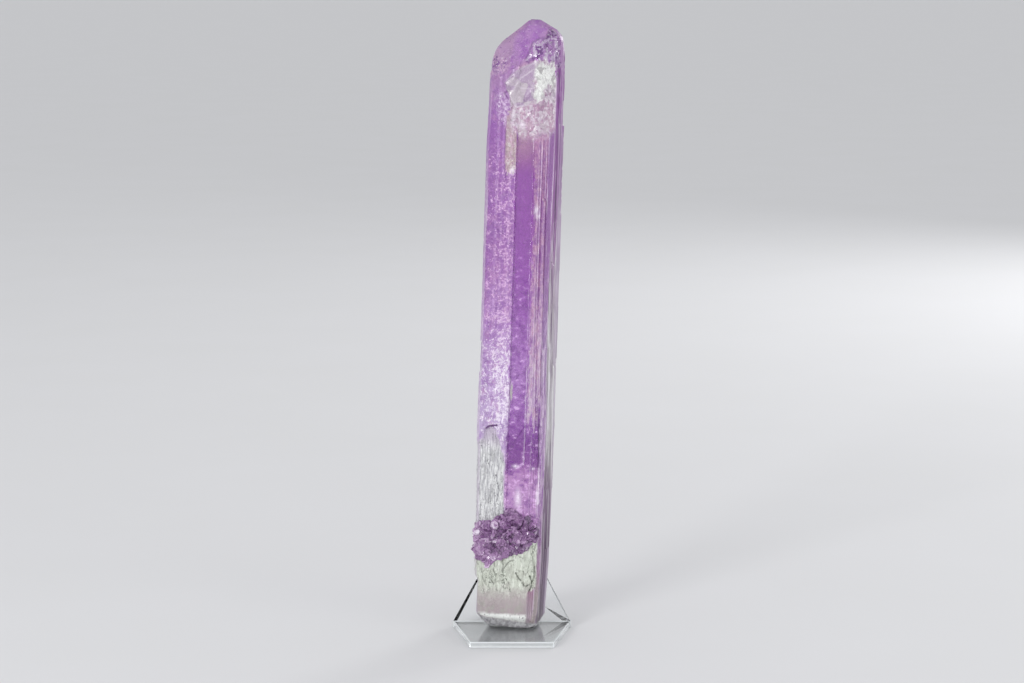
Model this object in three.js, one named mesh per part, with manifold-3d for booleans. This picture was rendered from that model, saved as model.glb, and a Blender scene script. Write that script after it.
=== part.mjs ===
// A tall kunzite crystal (pink-violet spodumene) with a crust of purple mica grown across its
// front, standing on a small easel bent from one sheet of clear acrylic.
// Millimetres, +Z up, the front faces -Y. The origin is on the table, under the middle of the
// crystal's foot. The crystal leans back on the easel, and a little to the right.

import * as THREE from "three";
import { ConvexGeometry } from "three/addons/geometries/ConvexGeometry.js";
import { mergeVertices } from "three/addons/utils/BufferGeometryUtils.js";
import Module from "manifold-3d";

const wasm = await Module();
wasm.setup();

// ---------------------------------------------------------------- driving dimensions

const CRYSTAL_LENGTH = 250;
const BACK_FACE = 8.5; // the back face's distance behind the crystal's axis
const LEAN_BACK = THREE.MathUtils.degToRad(6);
const LEAN_RIGHT = THREE.MathUtils.degToRad(1.75);
const SEAT_GAP = 0.3; // clearance wherever one piece rests on another

const SHEET = 2.5; // thickness of the easel's acrylic
const LEDGE_BACK_WIDTH = 49;
const LEDGE_FRONT_WIDTH = 34;
const LEDGE_FRONT = -22; // how far the ledge reaches to the front of the foot
const BACKREST_HEIGHT = 43;
const LEG_FOOT = 34; // how far behind the crystal's foot the leg meets the table

const FOOT_HEIGHT = SHEET + SEAT_GAP;

// ---------------------------------------------------------------- solids

// A closed three.js geometry as a manifold solid.
function solid(geometry, matrix = new THREE.Matrix4()) {
  const bare = new THREE.BufferGeometry();
  const source = geometry.index ? geometry.toNonIndexed() : geometry;
  bare.setAttribute("position", source.getAttribute("position").clone());
  const merged = mergeVertices(bare.applyMatrix4(matrix), 1e-4);
  return new wasm.Manifold(
    new wasm.Mesh({
      numProp: 3,
      vertProperties: merged.attributes.position.array,
      triVerts: new Uint32Array(merged.index.array),
    }),
  );
}

// The matrix that turns a thing and then moves it to a place.
function placed(place, turn) {
  return new THREE.Matrix4().compose(place, turn, new THREE.Vector3(1, 1, 1));
}

function joined(solids) {
  return solids.reduce((whole, next) => whole.add(next));
}

// A manifold solid as a named mesh, shaded flat.
function meshOf(name, body, material) {
  const { vertProperties, triVerts } = body.getMesh();
  const geometry = new THREE.BufferGeometry();
  geometry.setAttribute("position", new THREE.BufferAttribute(vertProperties, 3));
  geometry.setIndex(new THREE.BufferAttribute(triVerts, 1));
  const mesh = new THREE.Mesh(geometry, material);
  mesh.name = name;
  return mesh;
}

// The same stream of numbers from 0 to 1 on every run.
function seeded(seed) {
  let state = seed;
  return () => {
    state = (state + 0x6d2b79f5) | 0;
    let t = Math.imul(state ^ (state >>> 15), 1 | state);
    t = (t + Math.imul(t ^ (t >>> 7), 61 | t)) ^ t;
    return ((t ^ (t >>> 14)) >>> 0) / 4294967296;
  };
}

// The value at z of a curve given by [z, value] points, straight between them.
function along(points, z) {
  const next = points.findIndex(([height]) => height >= z);
  if (next === -1) return points.at(-1)[1];
  if (next === 0) return points[0][1];
  const [z0, v0] = points[next - 1];
  const [z1, v1] = points[next];
  return THREE.MathUtils.mapLinear(z, z0, z1, v0, v1);
}

// Everything on the outer side of a plane, as a block to cut away.
const CUT_SIZE = 160;
function beyond(point, normal) {
  const block = new THREE.BoxGeometry(CUT_SIZE, CUT_SIZE, CUT_SIZE).translate(0, 0, CUT_SIZE / 2);
  const turn = new THREE.Quaternion().setFromUnitVectors(
    new THREE.Vector3(0, 0, 1),
    new THREE.Vector3(...normal).normalize(),
  );
  return solid(block, placed(new THREE.Vector3(...point), turn));
}

// A lump with flat faces: the hull of points strewn over an ellipsoid.
function lump(centre, radii, seed, corners = 12) {
  const random = seeded(seed);
  const points = Array.from({ length: corners }, (_, i) => {
    const height = 1 - (2 * (i + 0.5)) / corners;
    const around = i * 2.4 + random();
    const ring = Math.sqrt(1 - height * height);
    const reach = 0.86 + 0.28 * random();
    return new THREE.Vector3(ring * Math.cos(around), ring * Math.sin(around), height)
      .multiplyScalar(reach)
      .multiply(new THREE.Vector3(...radii))
      .add(new THREE.Vector3(...centre));
  });
  return solid(new ConvexGeometry(points));
}

// ---------------------------------------------------------------- kunzite crystal

// The cross-section, anticlockwise from the front left corner. Each face runs to the next corner
// and carries growth ribs, with grooves of the given depth between them.
const CORNERS = [
  { name: "left_front", x: -15.5, y: -6.9, ribs: 4, groove: 0.16 },
  { name: "left_step", x: -4.2, y: -8.4, ribs: 0, groove: 0 },
  { name: "channel", x: -3.7, y: -7.4, ribs: 2, groove: 0.08 },
  { name: "right_step", x: 2.9, y: -7.4, ribs: 0, groove: 0 },
  { name: "right_front", x: 3.4, y: -8.3, ribs: 1, groove: 0.1 },
  { name: "bevel", x: 5.4, y: -8.3, ribs: 4, groove: 0.36 },
  { name: "shoulder", x: 9.3, y: -6.7, ribs: 1, groove: 0.3 },
  { name: "right_side", x: 11.5, y: -4.6, ribs: 4, groove: 0.36 },
  { name: "right_back", x: 15.0, y: 2.4, ribs: 2, groove: 0.3 },
  { name: "back_bevel", x: 14.2, y: 5.8, ribs: 2, groove: 0.25 },
  { name: "back", x: 10.2, y: BACK_FACE, ribs: 6, groove: 0.34 },
  { name: "left_back", x: -11.6, y: BACK_FACE, ribs: 2, groove: 0.3 },
  { name: "left_side", x: -15.6, y: 5.6, ribs: 3, groove: 0.25 },
  { name: "left_edge", x: -16.5, y: -3.8, ribs: 0, groove: 0 },
];
const RIB_SPREAD = 0.5; // how much the ribs differ in width and their grooves in depth
const GROOVE_PLACE = 0.78; // of a rib's width: the ribs are lopsided, as growth steps are
const LEFT_REACH = 16.5;
const RIGHT_REACH = 15.0;

// How far the crystal reaches to each side and to the front at each height.
const LEFT_PROFILE = [
  [0, 15.2], [28, 16.6], [80, 17.0], [130, 16.5], [190, 16.6], [218, 16.2], [250, 14.6],
];
const RIGHT_PROFILE = [
  [0, 13.1], [28, 14.4], [60, 14.8], [82, 15.1], [120, 14.1], [165, 14.3], [205, 15.0], [250, 14.3],
];
const FRONT_PROFILE = [[0, 0.94], [40, 1.0], [110, 1.03], [200, 1.0], [250, 0.94]];
const RINGS = 9;

// A point of the cross-section as it stands at height z.
function grown(x, y, z) {
  const side = x < 0 ? along(LEFT_PROFILE, z) / LEFT_REACH : along(RIGHT_PROFILE, z) / RIGHT_REACH;
  const front = y < 0 ? along(FRONT_PROFILE, z) : 1;
  return new THREE.Vector3(x * side, y * front, z);
}

function ribbedOutline() {
  const random = seeded(3);
  const points = [];
  CORNERS.forEach((face, i) => {
    const next = CORNERS[(i + 1) % CORNERS.length];
    const start = new THREE.Vector2(face.x, face.y);
    const run = new THREE.Vector2(next.x - face.x, next.y - face.y);
    const inward = new THREE.Vector2(-run.y, run.x).normalize();
    const widths = Array.from({ length: face.ribs }, () => 1 + RIB_SPREAD * (2 * random() - 1));
    const whole = widths.reduce((sum, width) => sum + width, 0);
    let reached = 0;
    points.push(start);
    widths.forEach((width, rib) => {
      const groove = start.clone().addScaledVector(run, (reached + GROOVE_PLACE * width) / whole);
      const depth = face.groove * (1 + RIB_SPREAD * (2 * random() - 1));
      points.push(groove.addScaledVector(inward, depth));
      reached += width;
      if (rib < face.ribs - 1) points.push(start.clone().addScaledVector(run, reached / whole));
    });
  });
  return new THREE.Shape(points);
}

function ribbedPrism() {
  const geometry = new THREE.ExtrudeGeometry(ribbedOutline(), {
    depth: CRYSTAL_LENGTH,
    steps: RINGS,
    bevelEnabled: false,
  });
  const place = geometry.getAttribute("position");
  for (let i = 0; i < place.count; i++) {
    const point = grown(place.getX(i), place.getY(i), place.getZ(i));
    place.setXYZ(i, point.x, point.y, point.z);
  }
  return solid(geometry);
}

// Part of the front, inside an outline of [x, z] points, as a block from the air to the axis.
function frontBlock(outline) {
  const reach = 20;
  const geometry = new THREE.ExtrudeGeometry(
    new THREE.Shape(outline.map(([x, z]) => new THREE.Vector2(x, z))),
    { depth: reach, bevelEnabled: false },
  );
  return solid(geometry, new THREE.Matrix4().makeRotationX(Math.PI / 2));
}

// What lies in the outline between the front face and the same face sunk by a depth.
function frontSkin(prism, outline, depth) {
  return frontBlock(outline).subtract(prism.translate([0, depth, 0]));
}

// The chisel end: facets sloping from a crest to the front and to the back, and two shoulders.
const CREST_DEPTH = 2; // how far behind the axis the crest runs
const TOP_FACETS = [
  // [x and z of a point of the crest, outward normal]
  [[-10.5, 241.3], [-0.4, -0.78, 0.48]],
  [[-0.5, 249.6], [-0.02, -0.78, 0.62]],
  [[4.9, 249.5], [0.44, -0.5, 0.79]],
  [[10.8, 246.2], [0.76, -0.25, 0.57]],
  [[13.3, 242.9], [0.98, -0.1, 0.16]],
  [[-10.5, 241.3], [-0.72, -0.3, 0.59]],
  [[-13.2, 238.0], [-0.9, -0.12, 0.41]],
  [[-0.5, 249.6], [-0.52, 0.45, 0.66]],
  [[4.9, 249.5], [0.4, 0.55, 0.72]],
];
// Conchoidal chips right of the crest: [centre, radii]
const TOP_CHIPS = [
  [[4.2, -8.4, 236.6], [3.2, 2.2, 2.8]],
  [[8.8, -6.4, 238.6], [2.8, 2.4, 3.8]],
  [[6.8, -5.4, 243.6], [2.4, 2.0, 2.6]],
  [[10.9, -5.8, 231.8], [1.8, 1.8, 4.2]],
  [[1.2, -7.2, 239.6], [1.5, 1.1, 1.5]],
];

// The broken foot: chips along the front edge, leaving the left corner raised.
const FOOT_CHIPS = [
  // [point, outward normal]
  [[-4.0, -8.2, 6.0], [-0.02, -0.74, -0.67]],
  [[-10.0, -5.6, 3.1], [-0.5, -0.36, -0.79]],
  [[-1.0, -5.0, 1.2], [-0.08, -0.42, -0.9]],
  [[11.4, -3.6, 2.1], [0.34, -0.34, -0.88]],
  [[12.6, 0, 5.0], [0.86, -0.1, -0.5]],
  [[-15.0, 0, 6.6], [-0.78, 0.1, -0.62]],
];

// The white scar below the top, where a flake broke out of the front.
// Each flat is a cleavage plane inside an outline of [x, z] points.
const SCAR_FLATS = [
  {
    outline: [[-10.0, 219.0], [-6.0, 214.0], [3.2, 229.0], [1.8, 233.6]],
    point: [-3.4, -7.5, 223.0],
    normal: [-0.2, -0.97, 0.1],
  },
  {
    outline: [[-4.8, 221.4], [-1.4, 215.8], [2.2, 222.2], [3.4, 229.6]],
    point: [-0.8, -7.0, 225.6],
    normal: [-0.1, -0.97, -0.2],
  },
  {
    outline: [[-6.8, 214.4], [-4.6, 221.6], [2.6, 222.6], [2.2, 214.2]],
    point: [-1.6, -6.7, 219.0],
    normal: [-0.22, -0.96, 0.16],
  },
  {
    outline: [[1.6, 215.4], [1.8, 229.8], [4.8, 232.4], [8.2, 230.8], [12.4, 228.6], [12.4, 215.6]],
    point: [6.4, -6.5, 223.2],
    normal: [0.34, -0.93, 0.14],
  },
  {
    outline: [[-6.8, 214.6], [-6.2, 208.8], [2.8, 207.0], [2.6, 215.0]],
    point: [-2.0, -7.2, 212.0],
    normal: [-0.08, -0.98, -0.16],
  },
  {
    outline: [[2.4, 216.0], [12.4, 216.4], [12.4, 206.2], [8.4, 203.4], [2.6, 206.8]],
    point: [6.4, -6.8, 210.6],
    normal: [0.32, -0.94, -0.1],
  },
  {
    outline: [[-6.3, 209.4], [-3.8, 204.2], [0.2, 201.8], [5.6, 202.4], [9.8, 204.0], [9.6, 207.6]],
    point: [1.6, -7.8, 205.6],
    normal: [0.05, -0.97, -0.24],
  },
];
const SCAR_CHIPS = [
  // [centre, radii]
  [[6.0, -8.2, 227.2], [3.0, 2.6, 3.0]],
  [[9.6, -6.0, 221.0], [2.6, 2.0, 4.4]],
  [[2.6, -7.6, 219.4], [2.2, 1.8, 3.4]],
  [[7.4, -7.6, 212.4], [2.8, 2.0, 3.2]],
  [[-2.6, -8.0, 207.4], [2.8, 1.6, 2.0]],
];

// The bleached, etched hollow in the front above the mica, arched at its top.
const BLEACH_DEPTH = 0.7;
const BLEACH_OUTLINE = [
  [-18.0, 74.0], [-14.6, 77.5], [-13.6, 81.5], [-11.4, 83.6], [-9.0, 82.4], [-7.4, 77.0],
  [-5.4, 70.0], [-4.9, 55.0], [-5.6, 44.0], [-18.0, 42.0],
];

// A shallow step in the left plate, below the scar.
const STEP_DEPTH = 0.35;
const STEP_OUTLINE = [[-9.0, 205.0], [-6.6, 210.0], [-4.4, 206.0], [-4.4, 186.0], [-8.4, 183.0]];

// The wide, clean window beside it, where the channel opens out to the bevel.
const WINDOW_DEPTH = 0.45;
const WINDOW_OUTLINE = [[-4.6, 72.0], [2.8, 84.0], [9.4, 84.0], [9.9, 66.0], [9.6, 46.0], [-5.2, 46.0]];

// Chips out of the edges: [centre, radii]
const EDGE_CHIPS = [
  [[-17.6, -3.6, 111.8], [1.8, 4.6, 6.8]],
  [[-17.2, -5.5, 26.0], [2.0, 3.4, 2.6]],
  [[10.6, -7.6, 43.0], [2.4, 1.9, 3.6]],
  [[8.4, -9.0, 20.0], [2.0, 2.4, 3.4]],
  [[5.4, -9.4, 14.5], [1.7, 1.9, 4.6]],
];
const LOWER_LEFT_TRIM = [[-14.9, 0, 12.0], [-1, 0, 0.02]]; // below the mica the left edge steps in
const LOWER_LEFT_TOP = 25.5;

// Growth ribs that stand proud of a face and end at ledges.
const RIBS = [
  // [face, place across it, bottom, top, width, how proud it stands]
  ["bevel", 0.62, 96, 176, 1.5, 0.34],
  ["shoulder", 0.4, 88, 128, 1.1, 0.3],
  ["right_side", 0.3, 58, 150, 1.9, 0.42],
  ["right_side", 0.72, 34, 107, 2.6, 0.62],
  ["right_side", 0.55, 168, 232, 1.6, 0.34],
  ["right_back", 0.5, 58, 206, 1.7, 0.4],
  ["back_bevel", 0.4, 30, 168, 1.9, 0.4],
  ["left_back", 0.5, 64, 214, 2.0, 0.42],
  ["left_side", 0.45, 40, 104, 2.2, 0.3],
  ["left_side", 0.25, 120, 222, 2.0, 0.34],
];
const RIB_END_SLOPE = 0.9;
const RIB_ROOT = 1.2; // how deep a rib reaches inside its face

function rib([faceName, across, bottom, top, width, height]) {
  const index = CORNERS.findIndex((face) => face.name === faceName);
  const [from, to] = [CORNERS[index], CORNERS[(index + 1) % CORNERS.length]];
  const x = THREE.MathUtils.lerp(from.x, to.x, across);
  const y = THREE.MathUtils.lerp(from.y, to.y, across);
  const facing = Math.atan2(to.y - from.y, to.x - from.x);
  const foot = grown(x, y, bottom);
  const head = grown(x, y, top);
  const geometry = new THREE.BoxGeometry(width, height + RIB_ROOT, top - bottom);
  geometry.translate(0, (RIB_ROOT - height) / 2, 0);
  const place = geometry.getAttribute("position");
  for (let i = 0; i < place.count; i++) {
    const isHead = place.getZ(i) > 0;
    const end = isHead ? head : foot;
    const slope = (isHead ? -1 : 0.5) * RIB_END_SLOPE * (place.getX(i) + 2 * place.getY(i));
    const turned = new THREE.Vector2(place.getX(i), place.getY(i));
    turned.rotateAround(new THREE.Vector2(), facing);
    place.setXYZ(i, end.x + turned.x, end.y + turned.y, end.z + slope);
  }
  return solid(geometry);
}

// Three-sided etch pits, the mark of spodumene, sunk in the front: [x, z, size]
const PITS = [
  [-12.4, 196, 1.6], [-9.0, 178, 1.2], [-13.2, 168, 1.4], [-7.4, 160, 1.6], [-11.0, 148, 1.2],
  [-8.2, 136, 1.5], [-13.4, 126, 1.4], [-6.6, 116, 1.3], [-11.6, 99, 1.6], [-8.0, 92, 1.4],
];
const PIT_DEPTH = 0.55;

function pit([x, z, size]) {
  const [plateLeft, plateRight] = CORNERS;
  const cone = new THREE.ConeGeometry(size, 2 * PIT_DEPTH, 3); // its middle lies on the face
  const face = THREE.MathUtils.mapLinear(x, plateLeft.x, plateRight.x, plateLeft.y, plateRight.y);
  const surface = grown(x, face, z);
  const point = new THREE.Matrix4().makeTranslation(surface.x, surface.y, z);
  return solid(cone, point.multiply(new THREE.Matrix4().makeScale(1, 1, 1.7)));
}

const leanBack = new THREE.Quaternion().setFromAxisAngle(new THREE.Vector3(1, 0, 0), -LEAN_BACK);
const leanRight = new THREE.Quaternion().setFromAxisAngle(new THREE.Vector3(0, 1, 0), LEAN_RIGHT);
const crystalTurn = leanBack.clone().multiply(leanRight);

function crystal() {
  const prism = ribbedPrism();
  const down = new THREE.Vector3(0, 0, -1).applyQuaternion(crystalTurn.clone().invert());
  const lowerLeft = beyond(...LOWER_LEFT_TRIM).subtract(beyond([0, 0, LOWER_LEFT_TOP], [-0.3, 0, 1]));
  const flats = SCAR_FLATS.map(({ outline, point, normal }) =>
    frontBlock(outline).intersect(beyond(point, normal)),
  );
  const chips = [...TOP_CHIPS, ...SCAR_CHIPS, ...EDGE_CHIPS].map(([centre, radii], i) =>
    lump(centre, radii, 11 + i),
  );
  const cuts = [
    ...TOP_FACETS.map(([[x, z], normal]) => beyond([x, CREST_DEPTH, z], normal)),
    ...FOOT_CHIPS.map(([point, normal]) => beyond(point, normal)),
    beyond([0, 0, 0], down.toArray()),
    lowerLeft,
    frontSkin(prism, BLEACH_OUTLINE, BLEACH_DEPTH),
    frontSkin(prism, WINDOW_OUTLINE, WINDOW_DEPTH),
    frontSkin(prism, STEP_OUTLINE, STEP_DEPTH),
    ...flats,
    ...chips,
    ...PITS.map(pit),
  ];
  return cuts.reduce((left, cut) => left.subtract(cut), joined([prism, ...RIBS.map(rib)]));
}

// ---------------------------------------------------------------- crust of purple mica

// Where the crust grows on the crystal's front, as [x, z] points.
const CRUST_OUTLINE = [
  [-16.6, 40.6], [-13.4, 44.6], [-9.8, 43.6], [-7.2, 45.4], [-4.8, 48.0], [-2.0, 49.2], [1.3, 47.2],
  [4.8, 46.0], [7.2, 43.0], [9.2, 41.0], [8.6, 38.2], [7.4, 35.8], [6.2, 33.0], [3.8, 31.4],
  [0.2, 30.6], [-3.8, 29.4], [-7.8, 27.6], [-11.4, 25.2], [-13.8, 26.6], [-15.6, 30.2], [-16.4, 35.2],
];
const CRUST_FRONT = 9.0; // how far in front of the axis its bed reaches
const CRUST_ROOT = 5.0; // where the bed starts, inside the crystal
const CRUST_BEVEL = 0.8;
const CRUST_TURN = 0.14; // how steeply it falls back towards the left edge, as the face does
const CRUST_EDGE = -17.1; // the books reach round the left edge as far as this
const BOOK_SPACING = 3.3;
const BOOK_RADIUS = 2.1;
const BOOK_SPREAD = 1.8; // how far a book may stray from its place

function isInside(x, z, outline) {
  let inside = false;
  outline.forEach(([x1, z1], i) => {
    const [x2, z2] = outline[(i + 1) % outline.length];
    if (z1 > z !== z2 > z && x < x1 + ((z - z1) / (z2 - z1)) * (x2 - x1)) inside = !inside;
  });
  return inside;
}

// The bed of fine mica under the books.
function crustBed() {
  const shape = new THREE.Shape(CRUST_OUTLINE.map(([x, z]) => new THREE.Vector2(x, z)));
  const depth = CRUST_FRONT - CRUST_ROOT;
  const geometry = new THREE.ExtrudeGeometry(shape, {
    depth: depth - CRUST_BEVEL,
    bevelThickness: CRUST_BEVEL,
    bevelSize: CRUST_BEVEL,
    bevelOffset: -CRUST_BEVEL,
    bevelSegments: 1,
  });
  geometry.rotateX(Math.PI / 2).translate(0, -CRUST_ROOT, 0);
  const place = geometry.getAttribute("position");
  for (let i = 0; i < place.count; i++) {
    place.setY(i, place.getY(i) + CRUST_TURN * Math.max(-place.getX(i) - 4, 0));
  }
  return solid(geometry);
}

// One six-sided book of mica, tipped at random.
function book(x, z, random) {
  const radius = BOOK_RADIUS * (0.75 + 0.5 * random());
  const geometry = new THREE.CylinderGeometry(radius, radius * 0.86, radius * 0.9, 6);
  const tip = new THREE.Euler(random() * Math.PI, random() * Math.PI, random() * Math.PI);
  const turn = new THREE.Quaternion().setFromEuler(tip);
  const place = new THREE.Vector3(Math.max(x, CRUST_EDGE + radius), 0.35 * radius - CRUST_FRONT, z);
  place.y += CRUST_TURN * Math.max(-place.x - 4, 0);
  return solid(geometry, placed(place, turn));
}

function crust() {
  const random = seeded(7);
  const books = [];
  const spread = new THREE.Box2().setFromPoints(CRUST_OUTLINE.map((p) => new THREE.Vector2(...p)));
  for (let z = spread.min.y + 1; z <= spread.max.y; z += BOOK_SPACING) {
    for (let x = spread.min.x + 1; x <= spread.max.x; x += BOOK_SPACING) {
      const bookX = x + (random() - 0.5) * BOOK_SPREAD;
      const bookZ = z + (random() - 0.5) * BOOK_SPREAD;
      if (isInside(bookX, bookZ, CRUST_OUTLINE)) books.push(book(bookX, bookZ, random));
    }
  }
  return joined([crustBed(), ...books]);
}

// The biggest of the separate bodies, with any pocket closed inside it filled.
function largest(body) {
  return body.decompose().reduce((best, next) => (next.volume() > best.volume() ? next : best));
}

// ---------------------------------------------------------------- easel

// A plate of the sheet: its outline in x and up, its front face at y = 0.
function plate(outline, holes = []) {
  const shape = new THREE.Shape(outline.map(([x, up]) => new THREE.Vector2(x, up)));
  shape.holes = holes.map((hole) => new THREE.Path(hole.map(([x, up]) => new THREE.Vector2(x, up))));
  const geometry = new THREE.ExtrudeGeometry(shape, { depth: SHEET, bevelEnabled: false });
  return geometry.rotateX(Math.PI / 2).translate(0, SHEET, 0);
}

const BACKREST_FRONT = BACK_FACE + SEAT_GAP; // behind the crystal's axis
const APEX_HALF_WIDTH = 3;
const WINDOW_BOTTOM = 8;
const WINDOW_TOP = 30;
const WINDOW_HALF_WIDTH = 12;
const WINDOW_HALF_TOP = 2.5;
const LEG_HALF_FOOT = 9;
const LEG_HALF_HINGE = 4.5;

function easel() {
  const leaning = placed(new THREE.Vector3(0, 0, FOOT_HEIGHT), leanBack);

  // The backrest is a triangle with a blunt top and a window in the middle.
  const half = LEDGE_BACK_WIDTH / 2;
  const root = -2 * FOOT_HEIGHT; // it starts below the table, and is trimmed there
  const backrestOutline = [
    [-half, root], [half, root], [half, 0], [APEX_HALF_WIDTH, BACKREST_HEIGHT - 1.5],
    [APEX_HALF_WIDTH / 2, BACKREST_HEIGHT], [-APEX_HALF_WIDTH / 2, BACKREST_HEIGHT],
    [-APEX_HALF_WIDTH, BACKREST_HEIGHT - 1.5], [-half, 0],
  ];
  const windowOutline = [
    [-WINDOW_HALF_WIDTH, WINDOW_BOTTOM], [-WINDOW_HALF_TOP, WINDOW_TOP],
    [WINDOW_HALF_TOP, WINDOW_TOP], [WINDOW_HALF_WIDTH, WINDOW_BOTTOM],
  ];
  const backrest = solid(
    plate(backrestOutline, [windowOutline]),
    leaning.clone().multiply(new THREE.Matrix4().makeTranslation(0, BACKREST_FRONT, 0)),
  );

  // The ledge runs forward from the backrest's foot, and is narrower at its front edge.
  const backrestFoot = new THREE.Vector3(0, BACKREST_FRONT, 0).applyMatrix4(leaning).y + SHEET;
  const ledgeShape = new THREE.Shape([
    new THREE.Vector2(-LEDGE_FRONT_WIDTH / 2, LEDGE_FRONT),
    new THREE.Vector2(LEDGE_FRONT_WIDTH / 2, LEDGE_FRONT),
    new THREE.Vector2(half, backrestFoot - 0.5),
    new THREE.Vector2(-half, backrestFoot - 0.5),
  ]);
  const ledge = solid(new THREE.ExtrudeGeometry(ledgeShape, { depth: SHEET, bevelEnabled: false }));

  // The leg hinges at the top of the window and slants down to the table behind.
  const hinge = new THREE.Vector3(0, BACKREST_FRONT, WINDOW_TOP + 2).applyMatrix4(leaning);
  const slant = new THREE.Vector2(LEG_FOOT - hinge.y, hinge.z);
  const legEnd = -slant.length() - 2 * SHEET; // past the table, and trimmed there
  const legOutline = [
    [-LEG_HALF_FOOT, legEnd], [LEG_HALF_FOOT, legEnd], [LEG_HALF_HINGE, 0], [-LEG_HALF_HINGE, 0],
  ];
  const legTurn = new THREE.Matrix4().makeRotationX(Math.atan2(slant.x, slant.y));
  const leg = solid(plate(legOutline), new THREE.Matrix4().setPosition(hinge).multiply(legTurn));

  const belowTable = beyond([0, 0, 0], [0, 0, -1]);
  return joined([backrest, ledge, leg]).subtract(belowTable);
}

// ---------------------------------------------------------------- the part

const kunzite = new THREE.MeshStandardMaterial({ color: 0xae80bb, roughness: 0.25, metalness: 0 });
const acrylic = new THREE.MeshStandardMaterial({ color: 0xe6eeee, roughness: 0.05, metalness: 0 });
kunzite.flatShading = true;
acrylic.flatShading = true;

const specimen = new THREE.Group(); // stands on its foot, leaning on the easel
specimen.position.z = FOOT_HEIGHT;
specimen.quaternion.copy(crystalTurn);
specimen.add(meshOf("kunzite_crystal", largest(crystal().add(crust())), kunzite));

const part = new THREE.Group();
part.add(specimen);
part.add(meshOf("acrylic_easel", easel(), acrylic));

export default part;
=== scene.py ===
import math

import bmesh
import bpy
import numpy as np
from mathutils import Matrix, Vector, noise
from mathutils.bvhtree import BVHTree


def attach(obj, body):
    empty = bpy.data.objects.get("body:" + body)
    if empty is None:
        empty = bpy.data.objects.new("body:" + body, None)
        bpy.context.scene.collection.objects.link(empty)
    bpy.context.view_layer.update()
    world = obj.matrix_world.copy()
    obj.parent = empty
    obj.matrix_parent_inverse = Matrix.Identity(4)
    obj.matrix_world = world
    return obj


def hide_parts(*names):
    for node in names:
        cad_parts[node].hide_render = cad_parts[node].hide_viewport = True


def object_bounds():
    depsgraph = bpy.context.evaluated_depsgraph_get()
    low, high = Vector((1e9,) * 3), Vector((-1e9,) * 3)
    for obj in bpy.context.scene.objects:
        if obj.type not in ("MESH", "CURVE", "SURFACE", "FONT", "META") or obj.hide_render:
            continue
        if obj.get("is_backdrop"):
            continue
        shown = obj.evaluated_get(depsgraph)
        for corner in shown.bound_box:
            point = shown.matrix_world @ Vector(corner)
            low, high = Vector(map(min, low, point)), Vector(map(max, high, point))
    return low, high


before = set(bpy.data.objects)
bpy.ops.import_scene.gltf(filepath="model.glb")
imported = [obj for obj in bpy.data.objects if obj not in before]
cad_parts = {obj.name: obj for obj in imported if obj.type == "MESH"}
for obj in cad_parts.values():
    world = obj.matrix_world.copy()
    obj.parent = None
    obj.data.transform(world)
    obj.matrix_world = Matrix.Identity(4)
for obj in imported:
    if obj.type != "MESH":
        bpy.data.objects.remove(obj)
cad_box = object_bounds()

# ------------------------------------------------------------------ kunzite crystal
# One blade of pink-violet spodumene: an etched plate and a clear channel in front, striated
# sides, a chisel top, a white scar where a flake broke out and a bleached foot. It grew in one
# piece and only leans on its easel, so its skin is one closed mesh.

MM = 0.001
LEAN_BACK = math.radians(6)
LEAN_RIGHT = math.radians(1.75)
FOOT_HEIGHT = 2.8
crystal_lean = Matrix.Rotation(-LEAN_BACK, 4, "X") @ Matrix.Rotation(LEAN_RIGHT, 4, "Y")
crystal_place = Matrix.Translation((0, 0, FOOT_HEIGHT * MM)) @ crystal_lean @ Matrix.Scale(MM, 4)

# The cross-section's corners, in mm in the crystal's own axes, and how many columns of the
# skin's mesh lie on the face that runs from each corner to the next.
FACES = [
    ("plate", -15.5, -6.9, 42),
    ("left_step", -4.2, -8.4, 3),
    ("channel", -3.7, -7.4, 23),
    ("right_step", 2.9, -7.4, 3),
    ("right_front", 3.4, -8.3, 7),
    ("bevel", 5.4, -8.3, 14),
    ("shoulder", 9.3, -6.7, 9),
    ("right_side", 11.5, -4.6, 20),
    ("right_back", 15.0, 2.4, 6),
    ("back_bevel", 14.2, 5.8, 6),
    ("back", 10.2, 8.5, 26),
    ("left_back", -11.6, 8.5, 6),
    ("left_side", -15.6, 5.6, 11),
    ("left_edge", -16.5, -3.8, 5),
]
LEFT_REACH = ([0, 28, 80, 130, 190, 218, 250], [15.2, 16.6, 17.0, 16.5, 16.6, 16.2, 14.6], 16.5)
RIGHT_REACH = (
    [0, 28, 60, 82, 120, 165, 205, 250],
    [13.1, 14.4, 14.8, 15.1, 14.1, 14.3, 15.0, 14.3],
    15.0,
)
FRONT_REACH = ([0, 40, 110, 200, 250], [0.94, 1.0, 1.03, 1.0, 0.94], 1.0)
SPINE_HALF_WIDTH = 8
LOW_RING, HIGH_RING = 8.0, 225.0  # the straight part of the skin, between its two domes
RING_STEPS = [  # (from, to, step), finer where there is more relief
    (LOW_RING, 52, 0.36), (52, 79, 0.85), (79, 87, 0.4), (87, 184, 0.95), (184, HIGH_RING, 0.32),
]
FOOT_RINGS, TOP_RINGS = 18, 58
TOP_POLE = Vector((2.2, 2.0, HIGH_RING))
FOOT_POLE = Vector((0, 0.5, LOW_RING))


def reach(profile, height):
    heights, values, widest = profile
    return float(np.interp(height, heights, values)) / widest


def merged_copy(node, place):
    """A CAD node's mesh with its corners joined, in the axes of a place."""
    mesh = bmesh.new()
    mesh.from_mesh(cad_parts[node].data)
    bmesh.ops.remove_doubles(mesh, verts=mesh.verts, dist=1e-6)
    mesh.transform(place.inverted())
    return mesh


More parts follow.
